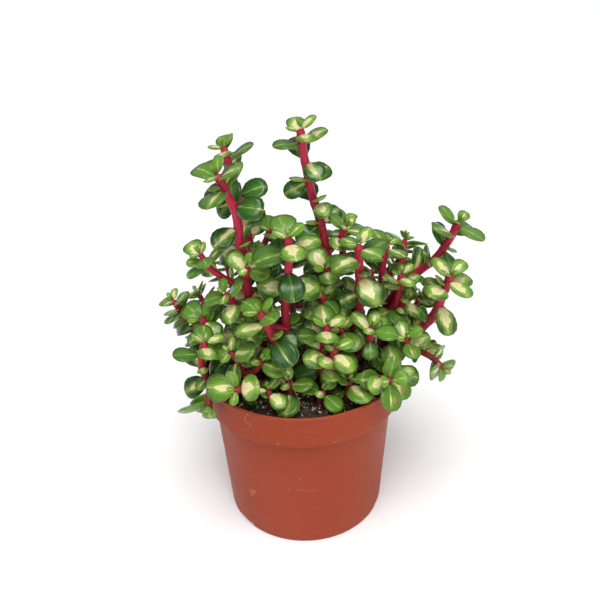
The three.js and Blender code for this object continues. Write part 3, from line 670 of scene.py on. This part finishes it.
# Leaf pairs, counted from the tip of a shoot: distance to the next younger pair, length against the
# shoot's full leaf, and angle from the stem in degrees.
PAIR_SPACING = [1, 2.4, 5.5, 10, 12, 13, 13.5, 13.5, 13.5, 13.5, 13.5]
PAIR_LENGTH = [0.56, 0.92, 1, 1, 1, 1, 0.97, 0.95, 0.93, 0.92, 0.9]
PAIR_ANGLE = [64, 78, 82, 88, 94, 98, 100, 100, 100, 100, 100]
YOUNG_PAIRS = 3
FULL_LEAF = 16
ROOTED_BARE = 16
SIDE_BARE = 5

# Where a leaf finds no room it turns aside: change of angle, turn about the stem, size.
WAYS_TO_GROW = [
    (0, 0, 1), (10, 0, 1), (-10, 0, 1), (0, 16, 1), (0, -16, 1),
    (18, 10, 0.92), (-18, -10, 0.92), (8, 28, 0.9), (8, -28, 0.9),
    (30, 0, 0.85), (-28, 0, 0.85), (30, 24, 0.75), (-26, -24, 0.75),
    (0, 0, 0.66), (30, 0, 0.6), (-30, 0, 0.6),
]
LEAF_CLEARANCE = 2.45
SIBLING_CLEARANCE = 1.96
STEM_CLEARANCE = 1.5
JOINT_CLEARANCE = 2.2
SOIL_CLEARANCE = 2.2
RIM_CLEARANCE = 2.9
MIX_REACH = 58
RIM_REACH = (54.5, 62.5)
PROBE_SPACING = 2.3
ROUTE_STEPS = 40

# Shoots: name, root on the mix or None, girth (radius at the root end and at the tip), turn of the tip
# pair in degrees, leaf pairs, full leaf, and the route.
SHOOTS = [
    ("centre_tall", (8, 12), (3.2, 2.2), 20, 11, 14.5,
     [(15, 12, 120), (18, 12, 146), (16, 11, 168), (12, 10, 186), (8, 9, 201), (5, 8, 218),
      (3, 6, 235)]),
    ("left_front", (-20, -6), (3.3, 2.3), 55, 10, 16,
     [(-25, -7, 124), (-29, -8, 150), (-31, -9, 175), (-32, -10, 195), (-36, -11, 207),
      (-40, -12, 217)]),
    ("left_back", (-14, 18), (3.1, 2.1), 0, 10, 14,
     [(-20, 18, 120), (-25, 18, 151), (-29, 18, 173), (-32, 18, 190), (-35, 18, 207),
      (-39, 17, 225)]),
    ("front_centre", (-5, -16), (2.9, 2.1), 15, 7, 16,
     [(-8, -19, 130), (-8, -21, 150), (-5, -24, 173), (-5, -26, 187)]),
    ("right_centre", (23, -10), (3.3, 2.3), 30, 7, 16,
     [(30, -11, 121), (33, -12, 140), (33, -13, 156), (32, -15, 178)]),
    ("right_mid", (30, 12), (2.8, 2), 40, 6, 14,
     [(43, 11, 118), (48, 10, 139), (49, 10, 155), (51, 10, 168)]),
    ("far_right_upper", (37, 26), (3.2, 2.2), 50, 7, 15,
     [(53, 20, 122), (62, 16, 140), (71, 13, 149), (79, 11, 157), (86, 9, 169), (90, 7, 181)]),
    ("far_right_lower", (41, -8), (3.4, 2.3), 35, 6, 16,
     [(48, -8, 98), (55, -9, 106), (62, -11, 114), (68, -12, 123), (75, -13, 133), (79, -14, 145),
      (82, -16, 159)]),
    ("right_low_side", None, (2, 1.5), 30, 4, 12,
     [(61, -11, 113), (68, -17, 112), (75, -23, 110), (79, -28, 107)]),
    ("front_right_rim", (36, -22), (2.5, 1.9), 45, 3, 15,
     [(40, -31, 104), (44, -40, 109), (47, -46, 112)]),
    ("front_left_rim", (-13, -11), (2.7, 2.1), 45, 4, 17,
     [(-16, -20, 98), (-24, -32, 103), (-32, -43, 108), (-36, -48, 111)]),
    ("left_low", (-40, -14), (2.6, 2), 20, 5, 15.5,
     [(-51, -22, 100), (-55, -29, 110), (-55, -31, 121), (-52, -31, 131)]),
    ("left_hanging", None, (2, 1.6), 80, 3, 15,
     [(-51, -22, 100), (-51, -32, 104), (-52, -39, 101), (-52, -42, 96)]),
    ("left_mid", (-34, 2), (2.5, 1.9), 30, 5, 14,
     [(-41, -4, 113), (-50, -10, 124), (-56, -14, 137)]),
    ("left_far_side", None, (2.1, 1.6), 60, 5, 13,
     [(-41, -4, 112), (-51, -1, 119), (-61, 2, 124), (-69, 2, 131), (-74, 2, 141)]),
    ("left_upper_side", None, (2.1, 1.6), 20, 5, 12,
     [(-29, -8, 150), (-36, -8, 154), (-43, -8, 159), (-49, -9, 165), (-53, -11, 174)]),
    ("left_centre", (-12, -24), (2.8, 2), 25, 5, 15,
     [(-9, -28, 110), (-12, -32, 125), (-16, -35, 137), (-21, -37, 151)]),
    ("low_centre", (12, -22), (2.8, 2), 10, 5, 16,
     [(12, -27, 121), (14, -30, 138)]),
    ("left_inner", None, (2.3, 1.8), 0, 5, 12,
     [(-18, 18, 111), (-16, 8, 120), (-18, 1, 145), (-21, -2, 169)]),
    ("centre_back", (12, 32), (2.5, 1.9), 50, 6, 14,
     [(18, 31, 120), (26, 30, 150), (29, 30, 175)]),
    ("right_back", (24, 40), (2.5, 1.9), 10, 6, 14,
     [(38, 40, 112), (54, 38, 130), (64, 36, 149)]),
    ("right_inner", None, (2.2, 1.7), 60, 4, 13,
     [(45, 23, 107), (51, 14, 112), (57, 4, 124), (61, 0, 138)]),
    ("soil_left", (-6, -34), (2.3, 1.8), 70, 4, 15,
     [(-8, -37, 108)]),
    ("soil_right", (24, -33), (2.3, 1.8), 20, 4, 15,
     [(26, -37, 107)]),
    ("front_mid", None, (2.2, 1.7), 30, 4, 15,
     [(12, -24, 104), (10, -31, 110), (15, -37, 120), (18, -39, 129)]),
    ("left_low_inner", (-32, -24), (2.4, 1.8), 60, 4, 14,
     [(-34, -30, 115), (-39, -34, 126)]),
    ("centre_low_left", None, (2.2, 1.7), 15, 4, 14,
     [(-23, -6, 112), (-28, -14, 120), (-31, -20, 135)]),
    ("left_mid_high", None, (2.2, 1.7), 80, 4, 14,
     [(-26, -7, 132), (-33, -12, 140), (-41, -17, 153)]),
    ("centre_mid", None, (2.2, 1.7), 40, 5, 14,
     [(11, 12, 105), (9, 2, 113), (12, -8, 129), (13, -12, 148)]),
    ("right_low_mid", None, (2.2, 1.7), 70, 4, 15,
     [(26, -11, 106), (32, -19, 112), (37, -25, 122), (38, -28, 135)]),
    ("right_rim", None, (2.2, 1.7), 20, 4, 14,
     [(49, -8, 99), (54, -15, 104), (58, -21, 114), (58, -25, 126)]),
    ("right_top_inner", None, (2.2, 1.7), 35, 5, 13,
     [(42, 11, 116), (50, 6, 123), (56, 1, 134), (58, 0, 154)]),
    ("back_left", (-28, 32), (2.5, 1.9), 30, 6, 15,
     [(-40, 44, 115), (-48, 56, 140)]),
    ("back_centre", (-4, 42), (2.6, 2), 75, 7, 15,
     [(-6, 54, 120), (-8, 62, 152)]),
    ("back_right", None, (2.2, 1.7), 30, 5, 14,
     [(39, 40, 113), (45, 51, 118), (50, 60, 132)]),
    ("back_left_low", None, (2.1, 1.6), 10, 5, 14,
     [(-37, 41, 110), (-49, 42, 107), (-60, 45, 112), (-68, 48, 124)]),
    ("back_rim", None, (2.2, 1.7), 50, 5, 15,
     [(-5, 50, 110), (6, 60, 108), (14, 68, 116), (18, 72, 128)]),
    ("back_right_low", (43, 12), (2.4, 1.8), 20, 5, 15,
     [(51, 17, 104), (62, 26, 111), (72, 33, 125)]),
    ("left_side_low", (-46, 10), (2.4, 1.8), 65, 5, 14,
     [(-58, 13, 103), (-66, 16, 117)]),
    ("back_left_high", None, (2.1, 1.6), 40, 5, 13,
     [(-22, 18, 134), (-26, 28, 141), (-32, 37, 160)]),
    ("back_centre_high", None, (2.1, 1.6), 15, 5, 13,
     [(17, 12, 133), (15, 23, 140), (11, 31, 160)]),
    ("back_right_high", None, (2.1, 1.6), 55, 5, 13,
     [(62, 16, 140), (63, 27, 146), (66, 35, 162)]),
    ("soil_front_left", (-18, -38), (2.3, 1.8), 30, 4, 14,
     [(-19, -41, 106)]),
    ("soil_centre", (9, -38), (2.3, 1.8), 50, 3, 15,
     [(11, -41, 104)]),
    ("inner_centre", (3, -5), (2.4, 1.8), 25, 5, 15,
     [(3, -9, 111), (4, -12, 124)]),
    ("inner_left", (-25, 10), (2.4, 1.8), 65, 5, 15,
     [(-28, 6, 110), (-31, 2, 124)]),
    ("inner_back_right", (21, 23), (2.4, 1.8), 40, 5, 15,
     [(26, 23, 112), (33, 22, 130)]),
    ("right_front_rim", (45, -18), (2.4, 1.8), 10, 4, 15,
     [(49, -26, 103), (52, -34, 110)]),
    ("inner_right", (17, 2), (2.4, 1.8), 55, 5, 15,
     [(19, -2, 108), (21, -6, 122)]),
    ("back_low", (-18, 38), (2.4, 1.8), 20, 4, 15,
     [(-22, 48, 105), (-25, 56, 114)]),
    ("right_side_mid", None, (2.1, 1.6), 35, 4, 14,
     [(53, 20, 122), (60, 12, 124), (67, 5, 129), (71, 1, 139)]),
    ("centre_high", None, (2.1, 1.6), 70, 4, 12,
     [(16, 11, 167), (22, 6, 171), (27, 3, 182)]),
    ("left_back_side", None, (2.1, 1.6), 25, 4, 12,
     [(-27, 18, 161), (-21, 15, 166), (-16, 13, 178)]),
    ("left_front_mid", None, (2.1, 1.6), 60, 4, 14,
     [(-33, -28, 109), (-26, -33, 113), (-22, -37, 122)]),
    ("right_centre_low", None, (2.1, 1.6), 15, 4, 15,
     [(30, -11, 119), (24, -17, 121), (22, -22, 132)]),
    ("centre_left_mid", None, (2.1, 1.6), 45, 4, 14,
     [(-8, -20, 131), (-15, -21, 134), (-19, -23, 144)]),
    ("left_front_side", None, (2.1, 1.6), 65, 4, 14,
     [(-30, -8, 160), (-28, -16, 162), (-27, -22, 170)]),
    ("centre_side", None, (2.1, 1.6), 25, 4, 14,
     [(18, 12, 148), (16, 3, 151), (15, -3, 160)]),
]


def unit(vector):
    return vector / np.linalg.norm(vector)


def smooth_route(points):
    """A smooth line through the points, in ROUTE_STEPS equal steps."""
    p = [np.array(point, float) for point in points]
    p = [2 * p[0] - p[1], *p, 2 * p[-1] - p[-2]]
    spans = len(p) - 3
    line = []
    for step in range(ROUTE_STEPS + 1):
        t = spans * step / ROUTE_STEPS
        k = min(int(t), spans - 1)
        w = t - k
        a, b, c, d = p[k:k + 4]
        leaving, arriving = 0.5 * (c - a), 0.5 * (d - b)
        bend = (-3 * b + 3 * c - 2 * leaving - arriving) * w * w
        line.append(b + leaving * w + bend + (2 * b - 2 * c + leaving + arriving) * w ** 3)
    return np.array(line)


class Stem:
    def __init__(self, shoot):
        self.name, self.root, (self.root_radius, self.tip_radius), self.turn = shoot[:4]
        self.pairs, self.full_leaf, route = shoot[4:]
        if self.root:
            x, y = self.root
            route = [(x, y, ROOT_BOTTOM), (x, y, SOIL_TOP), *route]
        self.line = smooth_route(route)
        steps = np.linalg.norm(np.diff(self.line, axis=0), axis=1)
        self.reached = np.concatenate([[0], np.cumsum(steps)])
        self.length = self.reached[-1]

    def radius_at(self, distance):
        return self.root_radius + (self.tip_radius - self.root_radius) * (distance / self.length)

    def at(self, distance):
        """The point at a distance from the root end, the stem's direction, and two across it."""
        d = min(max(distance, 0), self.length)
        i = 0
        while i < ROUTE_STEPS - 1 and self.reached[i + 1] <= d:
            i += 1
        part = (d - self.reached[i]) / (self.reached[i + 1] - self.reached[i])
        point = self.line[i] + (self.line[i + 1] - self.line[i]) * part
        along = unit(self.line[min(i + 2, ROUTE_STEPS)] - self.line[max(i - 1, 0)])
        across = unit(np.cross((0, 1, 0), along))
        return point, along, across, np.cross(along, across)


def chance(a, b, c):
    """A repeatable number from 0 to 1, so that no two leaves are alike."""
    value = math.sin(a * 12.9898 + b * 78.233 + c * 37.719) * 43758.5453
    return value - math.floor(value)


# How far a leaf leans, in degrees, and what its face turns to.
YOUNG_HABIT = {"lean": 14, "to_tip": 0.8, "to_light": 0.15, "to_sky": 0.2}
OLD_HABIT = {"lean": 42, "to_tip": 0.35, "to_light": 0.75, "to_sky": 0.35}
# How deep a leaf's base sits in its stem, as a share of the stem's radius.
BASE_DEPTH = 0.45


class Leaf:
    def __init__(self, stem, distance, turn, angle, size, plan):
        point, along, across, beside = stem.at(distance)
        outward = across * math.cos(turn) + beside * math.sin(turn)
        young = plan["young"]
        habit = YOUNG_HABIT if young else OLD_HABIT
        # Leaves lean towards the light on their own side of the plant, the old ones most.
        lit = unit(np.array([0.28 * point[0], point[1] - 40, 0]))
        lean = math.radians(habit["lean"]) * float(outward @ lit)
        self.axis = unit(along * math.cos(angle + lean) + outward * math.sin(angle + lean))
        facing = along * habit["to_tip"] + lit * habit["to_light"]
        facing = facing + np.array([0, 0, habit["to_sky"]])
        self.face = unit(facing - self.axis * (facing @ self.axis))
        self.side = np.cross(self.face, self.axis)
        self.stem_radius = stem.radius_at(distance)
        self.base = point + self.axis * BASE_DEPTH * self.stem_radius
        self.length = size + 0.55 * self.stem_radius
        self.width = size * plan["breadth"]
        self.curl, self.cup, self.young = plan["curl"], plan["cup"], young
        self.rank, self.owner = plan["rank"], plan["owner"]
        self.probe()

    def half_width(self, u):
        return self.width * math.sqrt(max(u * (1 - u), 0)) * (0.7 + 0.52 * u)

    def point_at(self, u, v):
        dish = self.cup * self.width * v * v * math.sqrt(max(u * (1 - u), 0))
        lift = self.curl * self.length * u * u + dish
        return self.base + self.axis * self.length * u + self.side * self.half_width(u) * v + self.face * lift

    def probe(self):
        """Points spread over the blade, for keeping it clear of its neighbours."""
        rows = max(3, math.ceil(self.length / PROBE_SPACING))
        shares, points = [], []
        for i in range(1, rows + 1):
            u = min(i / rows, 0.97)
            columns = max(1, math.ceil(self.half_width(u) / PROBE_SPACING))
            for j in range(-columns, columns + 1):
                shares.append(u)
                points.append(self.point_at(u, 0.93 * j / columns))
        self.shares, self.probes = np.array(shares), np.array(points)
        self.middle = self.probes.mean(axis=0)


def has_room(leaf, owner, leaves, beads, bead_radii):
    """Leaves keep out of the mix, off the rim, and away from stems and older leaves."""
    shares, p = leaf.shares, leaf.probes
    radius = np.hypot(p[:, 0], p[:, 1])
    low = (shares > 0.2) & (radius < MIX_REACH) & (p[:, 2] < SOIL_TOP + SOIL_CLEARANCE)
    over_rim = (radius > RIM_REACH[0]) & (radius < RIM_REACH[1])
    at_rim = (shares > 0.2) & over_rim & (p[:, 2] < POT_HEIGHT + RIM_CLEARANCE)
    if low.any() or at_rim.any():
        return False
    free = p[shares * leaf.length > 0.55 * leaf.stem_radius + JOINT_CLEARANCE]
    if len(free):
        gaps = np.linalg.norm(free[:, None] - beads[None], axis=2) - bead_radii
        if gaps.min() < STEM_CLEARANCE:
            return False
    for other in leaves:
        if np.linalg.norm(other.middle - leaf.middle) > (other.length + leaf.length) * 0.62 + 3:
            continue
        sibling = other.owner == owner
        clearance, start = (SIBLING_CLEARANCE, 0.35) if sibling else (LEAF_CLEARANCE, 0)
        mine, theirs = p[shares > start], other.probes[other.shares > start]
        if np.linalg.norm(mine[:, None] - theirs[None], axis=2).min() < clearance:
            return False
    return True


def below_tip(stem, rank):
    """How far below the tip a pair stands: weaker shoots have shorter joints."""
    vigour = 0.55 + 0.45 * (stem.full_leaf / FULL_LEAF)
    return PAIR_SPACING[0] + sum(PAIR_SPACING[1:rank + 1]) * vigour


def grow_leaf(plan, stem, leaves, beads, bead_radii):
    """Tries one leaf in each way it can grow and keeps the first that has room."""
    for more_angle, more_turn, share in WAYS_TO_GROW:
        turn, angle = math.radians(plan["turn"] + more_turn), math.radians(plan["angle"] + more_angle)
        leaf = Leaf(stem, plan["distance"], turn, angle, plan["size"] * share, plan)
        if has_room(leaf, plan["owner"], leaves, beads, bead_radii):
            leaves.append(leaf)
            return


def pair_leaf(stem, owner, rank, side, distance):
    """A leaf of an opposite pair; each pair stands square to the next."""
    def draw(k):
        return chance(owner + 1, rank + 1, side + k)

    young = rank < YOUNG_PAIRS
    shorter = 0.8 if rank == 0 and side == 1 else 1
    return {
        "owner": owner, "rank": rank, "distance": distance, "young": young,
        "turn": stem.turn + 90 * rank + 180 * side + (draw(1) - 0.5) * 26,
        "angle": PAIR_ANGLE[rank] + (draw(11) - 0.5) * 18,
        "size": stem.full_leaf * PAIR_LENGTH[rank] * shorter * (0.86 + 0.3 * draw(21)),
        "breadth": 0.84 + 0.14 * draw(1),
        "curl": -0.02 + 0.14 * draw(11) if young else -0.1 + 0.16 * draw(11),
        "cup": 0.1 + 0.1 * draw(21),
    }


# Below this height new leaves stand in about half of the joints, and above it in fewer.
CROWDED_BELOW = 165


def joint_leaf(stem, owner, rank, side, distance):
    """A small new leaf in the crook above an older leaf."""
    def draw(k):
        return chance(owner + 1, rank + 1, side + k)

    return {
        "owner": owner, "rank": 0, "distance": distance + 1.8, "young": True,
        "turn": stem.turn + 90 * rank + 180 * side + (draw(51) - 0.5) * 60,
        "angle": 66, "size": 6.5 + 4.5 * draw(61), "breadth": 1.02, "curl": 0.06, "cup": 0.12,
    }


def every_joint(stems):
    """The joints of all the shoots, the youngest of each first."""
    for rank in range(len(PAIR_SPACING)):
        for owner, stem in enumerate(stems):
            distance = stem.length - below_tip(stem, rank)
            if rank < stem.pairs and distance >= (ROOTED_BARE if stem.root else SIDE_BARE):
                yield rank, owner, stem, distance


def grow_leaves(stems):
    leaves, beads, radii = [], [], []
    for stem in stems:
        count = max(2, int(stem.length / 2))
        for k in range(count + 1):
            distance = stem.length * k / count
            beads.append(stem.at(distance)[0])
            radii.append(stem.radius_at(distance))
    beads, radii = np.array(beads), np.array(radii)
    for rank, owner, stem, distance in every_joint(stems):
        for side in (0, 1):
            grow_leaf(pair_leaf(stem, owner, rank, side, distance), stem, leaves, beads, radii)
    for rank, owner, stem, distance in every_joint(stems):
        for side in (0, 1):
            often = 0.5 if stem.at(distance)[0][2] < CROWDED_BELOW else 0.28
            if rank >= 2 and chance(owner + 1, rank + 1, side + 41) <= often:
                grow_leaf(joint_leaf(stem, owner, rank, side, distance), stem, leaves, beads, radii)
    return leaves


def bud_leaves(stem, owner):
    """The two closed leaves of the growing tip."""
    for side in (0, 1):
        plan = {
            "owner": owner, "rank": 0, "young": True, "breadth": 0.72, "curl": 0.12, "cup": 0.3,
        }
        turn = math.radians(stem.turn - 90 + 180 * side)
        yield Leaf(stem, stem.length - 0.3, turn, math.radians(20), 3.4 + 0.5 * side, plan)


# ------------------------------------------------------------------------------------- the pieces


def store(mesh, name, values):
    """Keeps one number or one vector per point on a mesh."""
    values = np.array(values, np.float32)
    kind = "FLOAT_VECTOR" if values.ndim == 2 else "FLOAT"
    attribute = mesh.attributes.new(name, kind, "POINT")
    attribute.data.foreach_set("vector" if values.ndim == 2 else "value", values.ravel())


def finished(piece, slot, *nodes):
    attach(piece, "root")
    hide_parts(*nodes)
    return piece


def stripe_width(leaf, owner, number):
    """Most leaves have a middling stripe, some nearly none and a few a very broad one."""
    pick = chance(owner + 3, number + 5, 71)
    if pick < 0.32:
        return 0.01
    if pick > 0.70:
        return 0.48
    return 0.08 + 0.22 * chance(owner + 3, number + 5, 83)


def leaf_piece(name, owner, leaves, blade):
    mesh = bpy.data.meshes.new(name)
    mesh.from_pydata([tuple(leaf.base * MM) for leaf in leaves], [], [])
    seeds = [chance(owner + 1, number + 1, 91) for number in range(len(leaves))]
    store(mesh, "leaf_base", [leaf.base * MM for leaf in leaves])
    store(mesh, "leaf_axis", [leaf.axis for leaf in leaves])
    store(mesh, "leaf_face", [leaf.face for leaf in leaves])
    store(mesh, "leaf_size", [
        (leaf.length * MM, leaf.width * MM, (0.48 + 0.045 * leaf.length) * MM) for leaf in leaves
    ])
    store(mesh, "leaf_bend", [
        (leaf.curl, leaf.cup, (0.08 if leaf.young else 0.05) * (0.4 + seed))
        for leaf, seed in zip(leaves, seeds)
    ])
    store(mesh, "leaf_traits", [
        (seed, max(0.0, 1 - leaf.rank / 3), stripe_width(leaf, owner, number))
        for number, (leaf, seed) in enumerate(zip(leaves, seeds))
    ])
    return grown(LEAF_SPRAY, name, mesh, Blade=blade, Joint_narrowing=0.5, Finish=LEAF)


STEM_SAMPLE = 1.1
JOINT_SWELL = 0.1
SWELL_WIDTH = 1.6
TIP_ROUNDING = 1.8
STEM_SHARE = 0.97


def stem_piece(name, owner, stem):
    """The stem, a little swollen with a fine ring at each joint, and rounded off at the tip."""
    joints = [stem.length - below_tip(stem, rank) for rank in range(len(PAIR_SPACING))]
    joints = [distance for distance in joints if distance > 2]
    count = int(stem.length / STEM_SAMPLE)
    points, girths, places = [], [], []
    for k in range(count + 1):
        distance = stem.length * k / count
        from_joint = min(abs(distance - joint) for joint in joints)
        to_tip = stem.length - distance
        swell = 1 + JOINT_SWELL * math.exp(-(from_joint / SWELL_WIDTH) ** 2)
        wobble = 1 + 0.015 * math.sin(distance * 0.5 + owner)
        rounding = math.sqrt(max(1 - max(1 - to_tip / TIP_ROUNDING, 0) ** 2, 0.02))
        points.append(tuple(stem.at(distance)[0] * MM))
        girths.append(stem.radius_at(distance) * STEM_SHARE * swell * wobble * rounding * MM)
        places.append((distance / stem.length, from_joint, 0))
    mesh = bpy.data.meshes.new(name)
    mesh.from_pydata(points, [(k, k + 1) for k in range(count)], [])
    store(mesh, "girth", girths)
    store(mesh, "stem_place", places)
    return grown(STEM_SKIN, name, mesh, Sides=12, Finish=STEM)


def make_plant():
    stems = [Stem(shoot) for shoot in SHOOTS]
    leaves = grow_leaves(stems)
    blade = plain_blade()
    for owner, stem in enumerate(stems):
        own = [leaf for leaf in leaves if leaf.owner == owner] + list(bud_leaves(stem, owner))
        node = "shoot_" + stem.name
        finished(leaf_piece("leaves_" + stem.name, owner, own, blade), "leaf", node)
        finished(stem_piece("stem_" + stem.name, owner, stem), "leaf", node)
    bpy.data.objects.remove(blade)


# Pot profile of radius and height, outside then inside, from the middle of the foot round to the
# middle of the floor.
POT_PROFILE = [
    (0, 0), (9.6, 0), (10, 0.4), (10, 2.1), (10.4, 2.5), (46.7, 2.5), (47.1, 2.1), (47.1, 0.3), (47.4, 0),
    (48.3, 0), (48.75, 0.12), (49.15, 0.5), (49.4, 1.1), (49.55, 1.9),
    (50.15, 11), (50.8, 21), (51.45, 31), (52.1, 41), (52.75, 51), (53.4, 61), (54.0, 70), (54.5, 77.4),
    (54.58, 78.6), (54.75, 79.15), (55.2, 79.45), (58.4, 79.75), (59.05, 79.95), (59.4, 80.4), (59.5, 81.1),
    (59.5, 84), (59.5, 88), (59.5, 92), (59.5, 95.6), (59.52, 96.4), (59.65, 96.9), (59.85, 97.25),
    (59.97, 97.7), (59.97, 98.2), (59.8, 98.6), (59.45, 98.88), (58.9, 98.98), (58.4, 98.8), (58.15, 98.4),
    (58.1, 97.6), (58.1, 90), (58.1, 82.2), (57.8, 81.5), (57.2, 81.2), (54.0, 80.7), (53.5, 80.2),
    (53.4, 79), (52.3, 60), (51.0, 40), (49.6, 20), (48.4, 4.4), (47.7, 3.7), (46.8, 3.6), (0, 3.6),
]
POT_SIDES = 128
NOTCH_ANGLES = [219, 339, 99]
NOTCH_WIDTH = 15
NOTCH_HEIGHT = 2.7


def turned_mesh(name, profile, sides):
    """A closed profile turned about the Z axis; its first and last points are on the axis."""
    rings = profile[1:-1]
    points = [(0, 0, profile[0][1] * MM)]
    for radius, height in rings:
        for k in range(sides):
            turn = 2 * math.pi * k / sides
            points.append((radius * MM * math.cos(turn), radius * MM * math.sin(turn), height * MM))
    points.append((0, 0, profile[-1][1] * MM))
    last = len(points) - 1
    faces = []
    for k in range(sides):
        n = (k + 1) % sides
        faces.append((0, 1 + n, 1 + k))
        for row in range(len(rings) - 1):
            low, high = 1 + row * sides, 1 + (row + 1) * sides
            faces.append((low + k, low + n, high + n, high + k))
        end = 1 + (len(rings) - 1) * sides
        faces.append((end + k, end + n, last))
    mesh = bpy.data.meshes.new(name)
    mesh.from_pydata(points, [], faces)
    return mesh


def notch_cutter():
    """Three blocks, one through the foot at each drainage notch."""
    points, faces = [], []
    for angle in NOTCH_ANGLES:
        turn = Matrix.Rotation(math.radians(angle), 3, "Z")
        start = len(points)
        for z in (-2.0, NOTCH_HEIGHT):
            for x, y in ((-6, -1), (6, -1), (6, 1), (-6, 1)):
                corner = Vector((49.5 + x * 0.9, y * NOTCH_WIDTH / 2, z))
                points.append(tuple(turn @ corner * MM))
        for face in ((0, 3, 2, 1), (4, 5, 6, 7), (0, 1, 5, 4), (1, 2, 6, 5), (2, 3, 7, 6), (3, 0, 4, 7)):
            faces.append(tuple(start + corner for corner in face))
    mesh = bpy.data.meshes.new("notch_cutter")
    mesh.from_pydata(points, [], faces)
    cutter = bpy.data.objects.new("notch_cutter", mesh)
    scene.collection.objects.link(cutter)
    return cutter


def make_pot():
    pot = bpy.data.objects.new("nursery_pot", turned_mesh("nursery_pot", POT_PROFILE, POT_SIDES))
    scene.collection.objects.link(pot)
    cutter = notch_cutter()
    cut = pot.modifiers.new("notches", "BOOLEAN")
    cut.operation = "DIFFERENCE"
    cut.solver = "EXACT"
    cut.object = cutter
    mesh = bpy.data.meshes.new_from_object(pot.evaluated_get(bpy.context.evaluated_depsgraph_get()))
    pot.modifiers.remove(cut)
    pot.data = mesh
    bpy.data.objects.remove(cutter)
    mesh.materials.clear()
    mesh.materials.append(POT)
    mesh.shade_smooth()
    mesh.set_sharp_from_angle(angle=math.radians(50))
    finished(pot, "pot", "pot")


MIX_RADIUS = 57.6
MIX_RINGS = 30
MIX_SIDES = 96


def mix_height(x, y):
    """The uneven top of the mix."""
    swell = 0.5 * math.sin(x * 0.13 + 1) + 0.5 * math.cos(y * 0.16 + x * 0.05)
    lumps = 0.35 * math.sin(x * 0.71 + 1.3 * math.sin(y * 0.43)) * math.cos(y * 0.67 + math.sin(x * 0.39))
    crumbs = 0.22 * math.sin(x * 1.9 + y * 0.7) * math.sin(y * 2.3 - x * 0.6)
    return SOIL_TOP + swell + lumps + crumbs


def make_mix():
    points = [(0, 0, mix_height(0, 0) * MM)]
    for ring in range(1, MIX_RINGS + 1):
        radius = MIX_RADIUS * ring / MIX_RINGS
        for k in range(MIX_SIDES):
            turn = 2 * math.pi * k / MIX_SIDES
            x, y = radius * math.cos(turn), radius * math.sin(turn)
            points.append((x * MM, y * MM, mix_height(x, y) * MM))
    faces = []
    for k in range(MIX_SIDES):
        n = (k + 1) % MIX_SIDES
        faces.append((0, 1 + k, 1 + n))
        for ring in range(MIX_RINGS - 1):
            low, high = 1 + ring * MIX_SIDES, 1 + (ring + 1) * MIX_SIDES
            faces.append((low + k, high + k, high + n, low + n))
    top_points, top_faces = list(points), list(faces)
    # Below its top the mix fills the pot down to the floor.
    edge = 1 + (MIX_RINGS - 1) * MIX_SIDES
    for radius, height in ((57.6, 82.4), (52.9, 79.6), (48.0, 5.0)):
        start = len(points)
        for k in range(MIX_SIDES):
            turn = 2 * math.pi * k / MIX_SIDES
            points.append((radius * MM * math.cos(turn), radius * MM * math.sin(turn), height * MM))
        for k in range(MIX_SIDES):
            n = (k + 1) % MIX_SIDES
            faces.append((edge + k, start + k, start + n, edge + n))
        edge = start
    points.append((0, 0, 5.0 * MM))
    for k in range(MIX_SIDES):
        faces.append((edge + k, len(points) - 1, edge + (k + 1) % MIX_SIDES))
    mesh = bpy.data.meshes.new("potting_mix")
    mesh.from_pydata(points, [], faces)
    mesh.materials.append(MIX)
    mesh.shade_smooth()
    mix = bpy.data.objects.new("potting_mix", mesh)
    scene.collection.objects.link(mix)
    finished(mix, "soil", "soil")

    top = bpy.data.meshes.new("mix_top")
    top.from_pydata(top_points, [], top_faces)
    grit = grown(
        GRIT_SCATTER, "bark_and_grit", top,
        Chips_per_square_metre=260000.0, Chip_size=1.2 * MM, Seed=11, Finish=GRIT,
    )
    finished(grit, "soil", "soil")


# Loose fibres: name, radius and the points they run through.
FIBRES = [
    ("root_hair", 0.10, [
        (-29.6, -52.2, 98.2), (-31.5, -51.1, 94.6), (-31.6, -51.1, 92.6), (-29.8, -52.2, 92.0),
        (-28.6, -52.9, 90.4), (-29.8, -52.2, 88.6), (-31.6, -51.1, 87.0), (-33.3, -50.0, 85.9),
    ]),
    ("straw", 0.10, [
        (-7.5, -44.5, 128.0), (-6.8, -46.6, 121.0), (-5.0, -48.2, 112.0), (-2.0, -49.5, 103.0),
        (2.0, -50.0, 96.5), (4.0, -50.2, 93.4),
    ]),
]


def make_fibres():
    for name, radius, through in FIBRES:
        line = smooth_route(through)
        mesh = bpy.data.meshes.new(name)
        mesh.from_pydata([tuple(point * MM) for point in line], [(k, k + 1) for k in range(ROUTE_STEPS)], [])
        taper = [radius * (1 - 0.6 * k / ROUTE_STEPS) * MM for k in range(ROUTE_STEPS + 1)]
        store(mesh, "girth", taper)
        finished(grown(STEM_SKIN, name, mesh, Sides=6, Finish=FIBRE), "soil", "soil")


def make_floor():
    """A plain pale floor."""
    half = 6.0
    mesh = bpy.data.meshes.new("floor")
    corners = [(-half, -half, 0), (half, -half, 0), (half, half, 0), (-half, half, 0)]
    mesh.from_pydata(corners, [], [(0, 1, 2, 3)])
    material, tree, shader, place = new_material("pale_floor")
    soft = noise(tree, place, 3.0, 2)
    shade = tint(tree, soft, (0.96, 0.96, 0.96, 1), (0.975, 0.975, 0.975, 1))
    tree.links.new(shade, shader.inputs["Base Color"])
    shader.inputs["Roughness"].default_value = 0.9
    mesh.materials.append(material)
    floor = bpy.data.objects.new("floor", mesh)
    scene.collection.objects.link(floor)


make_floor()
make_pot()
make_mix()
make_fibres()
make_plant()
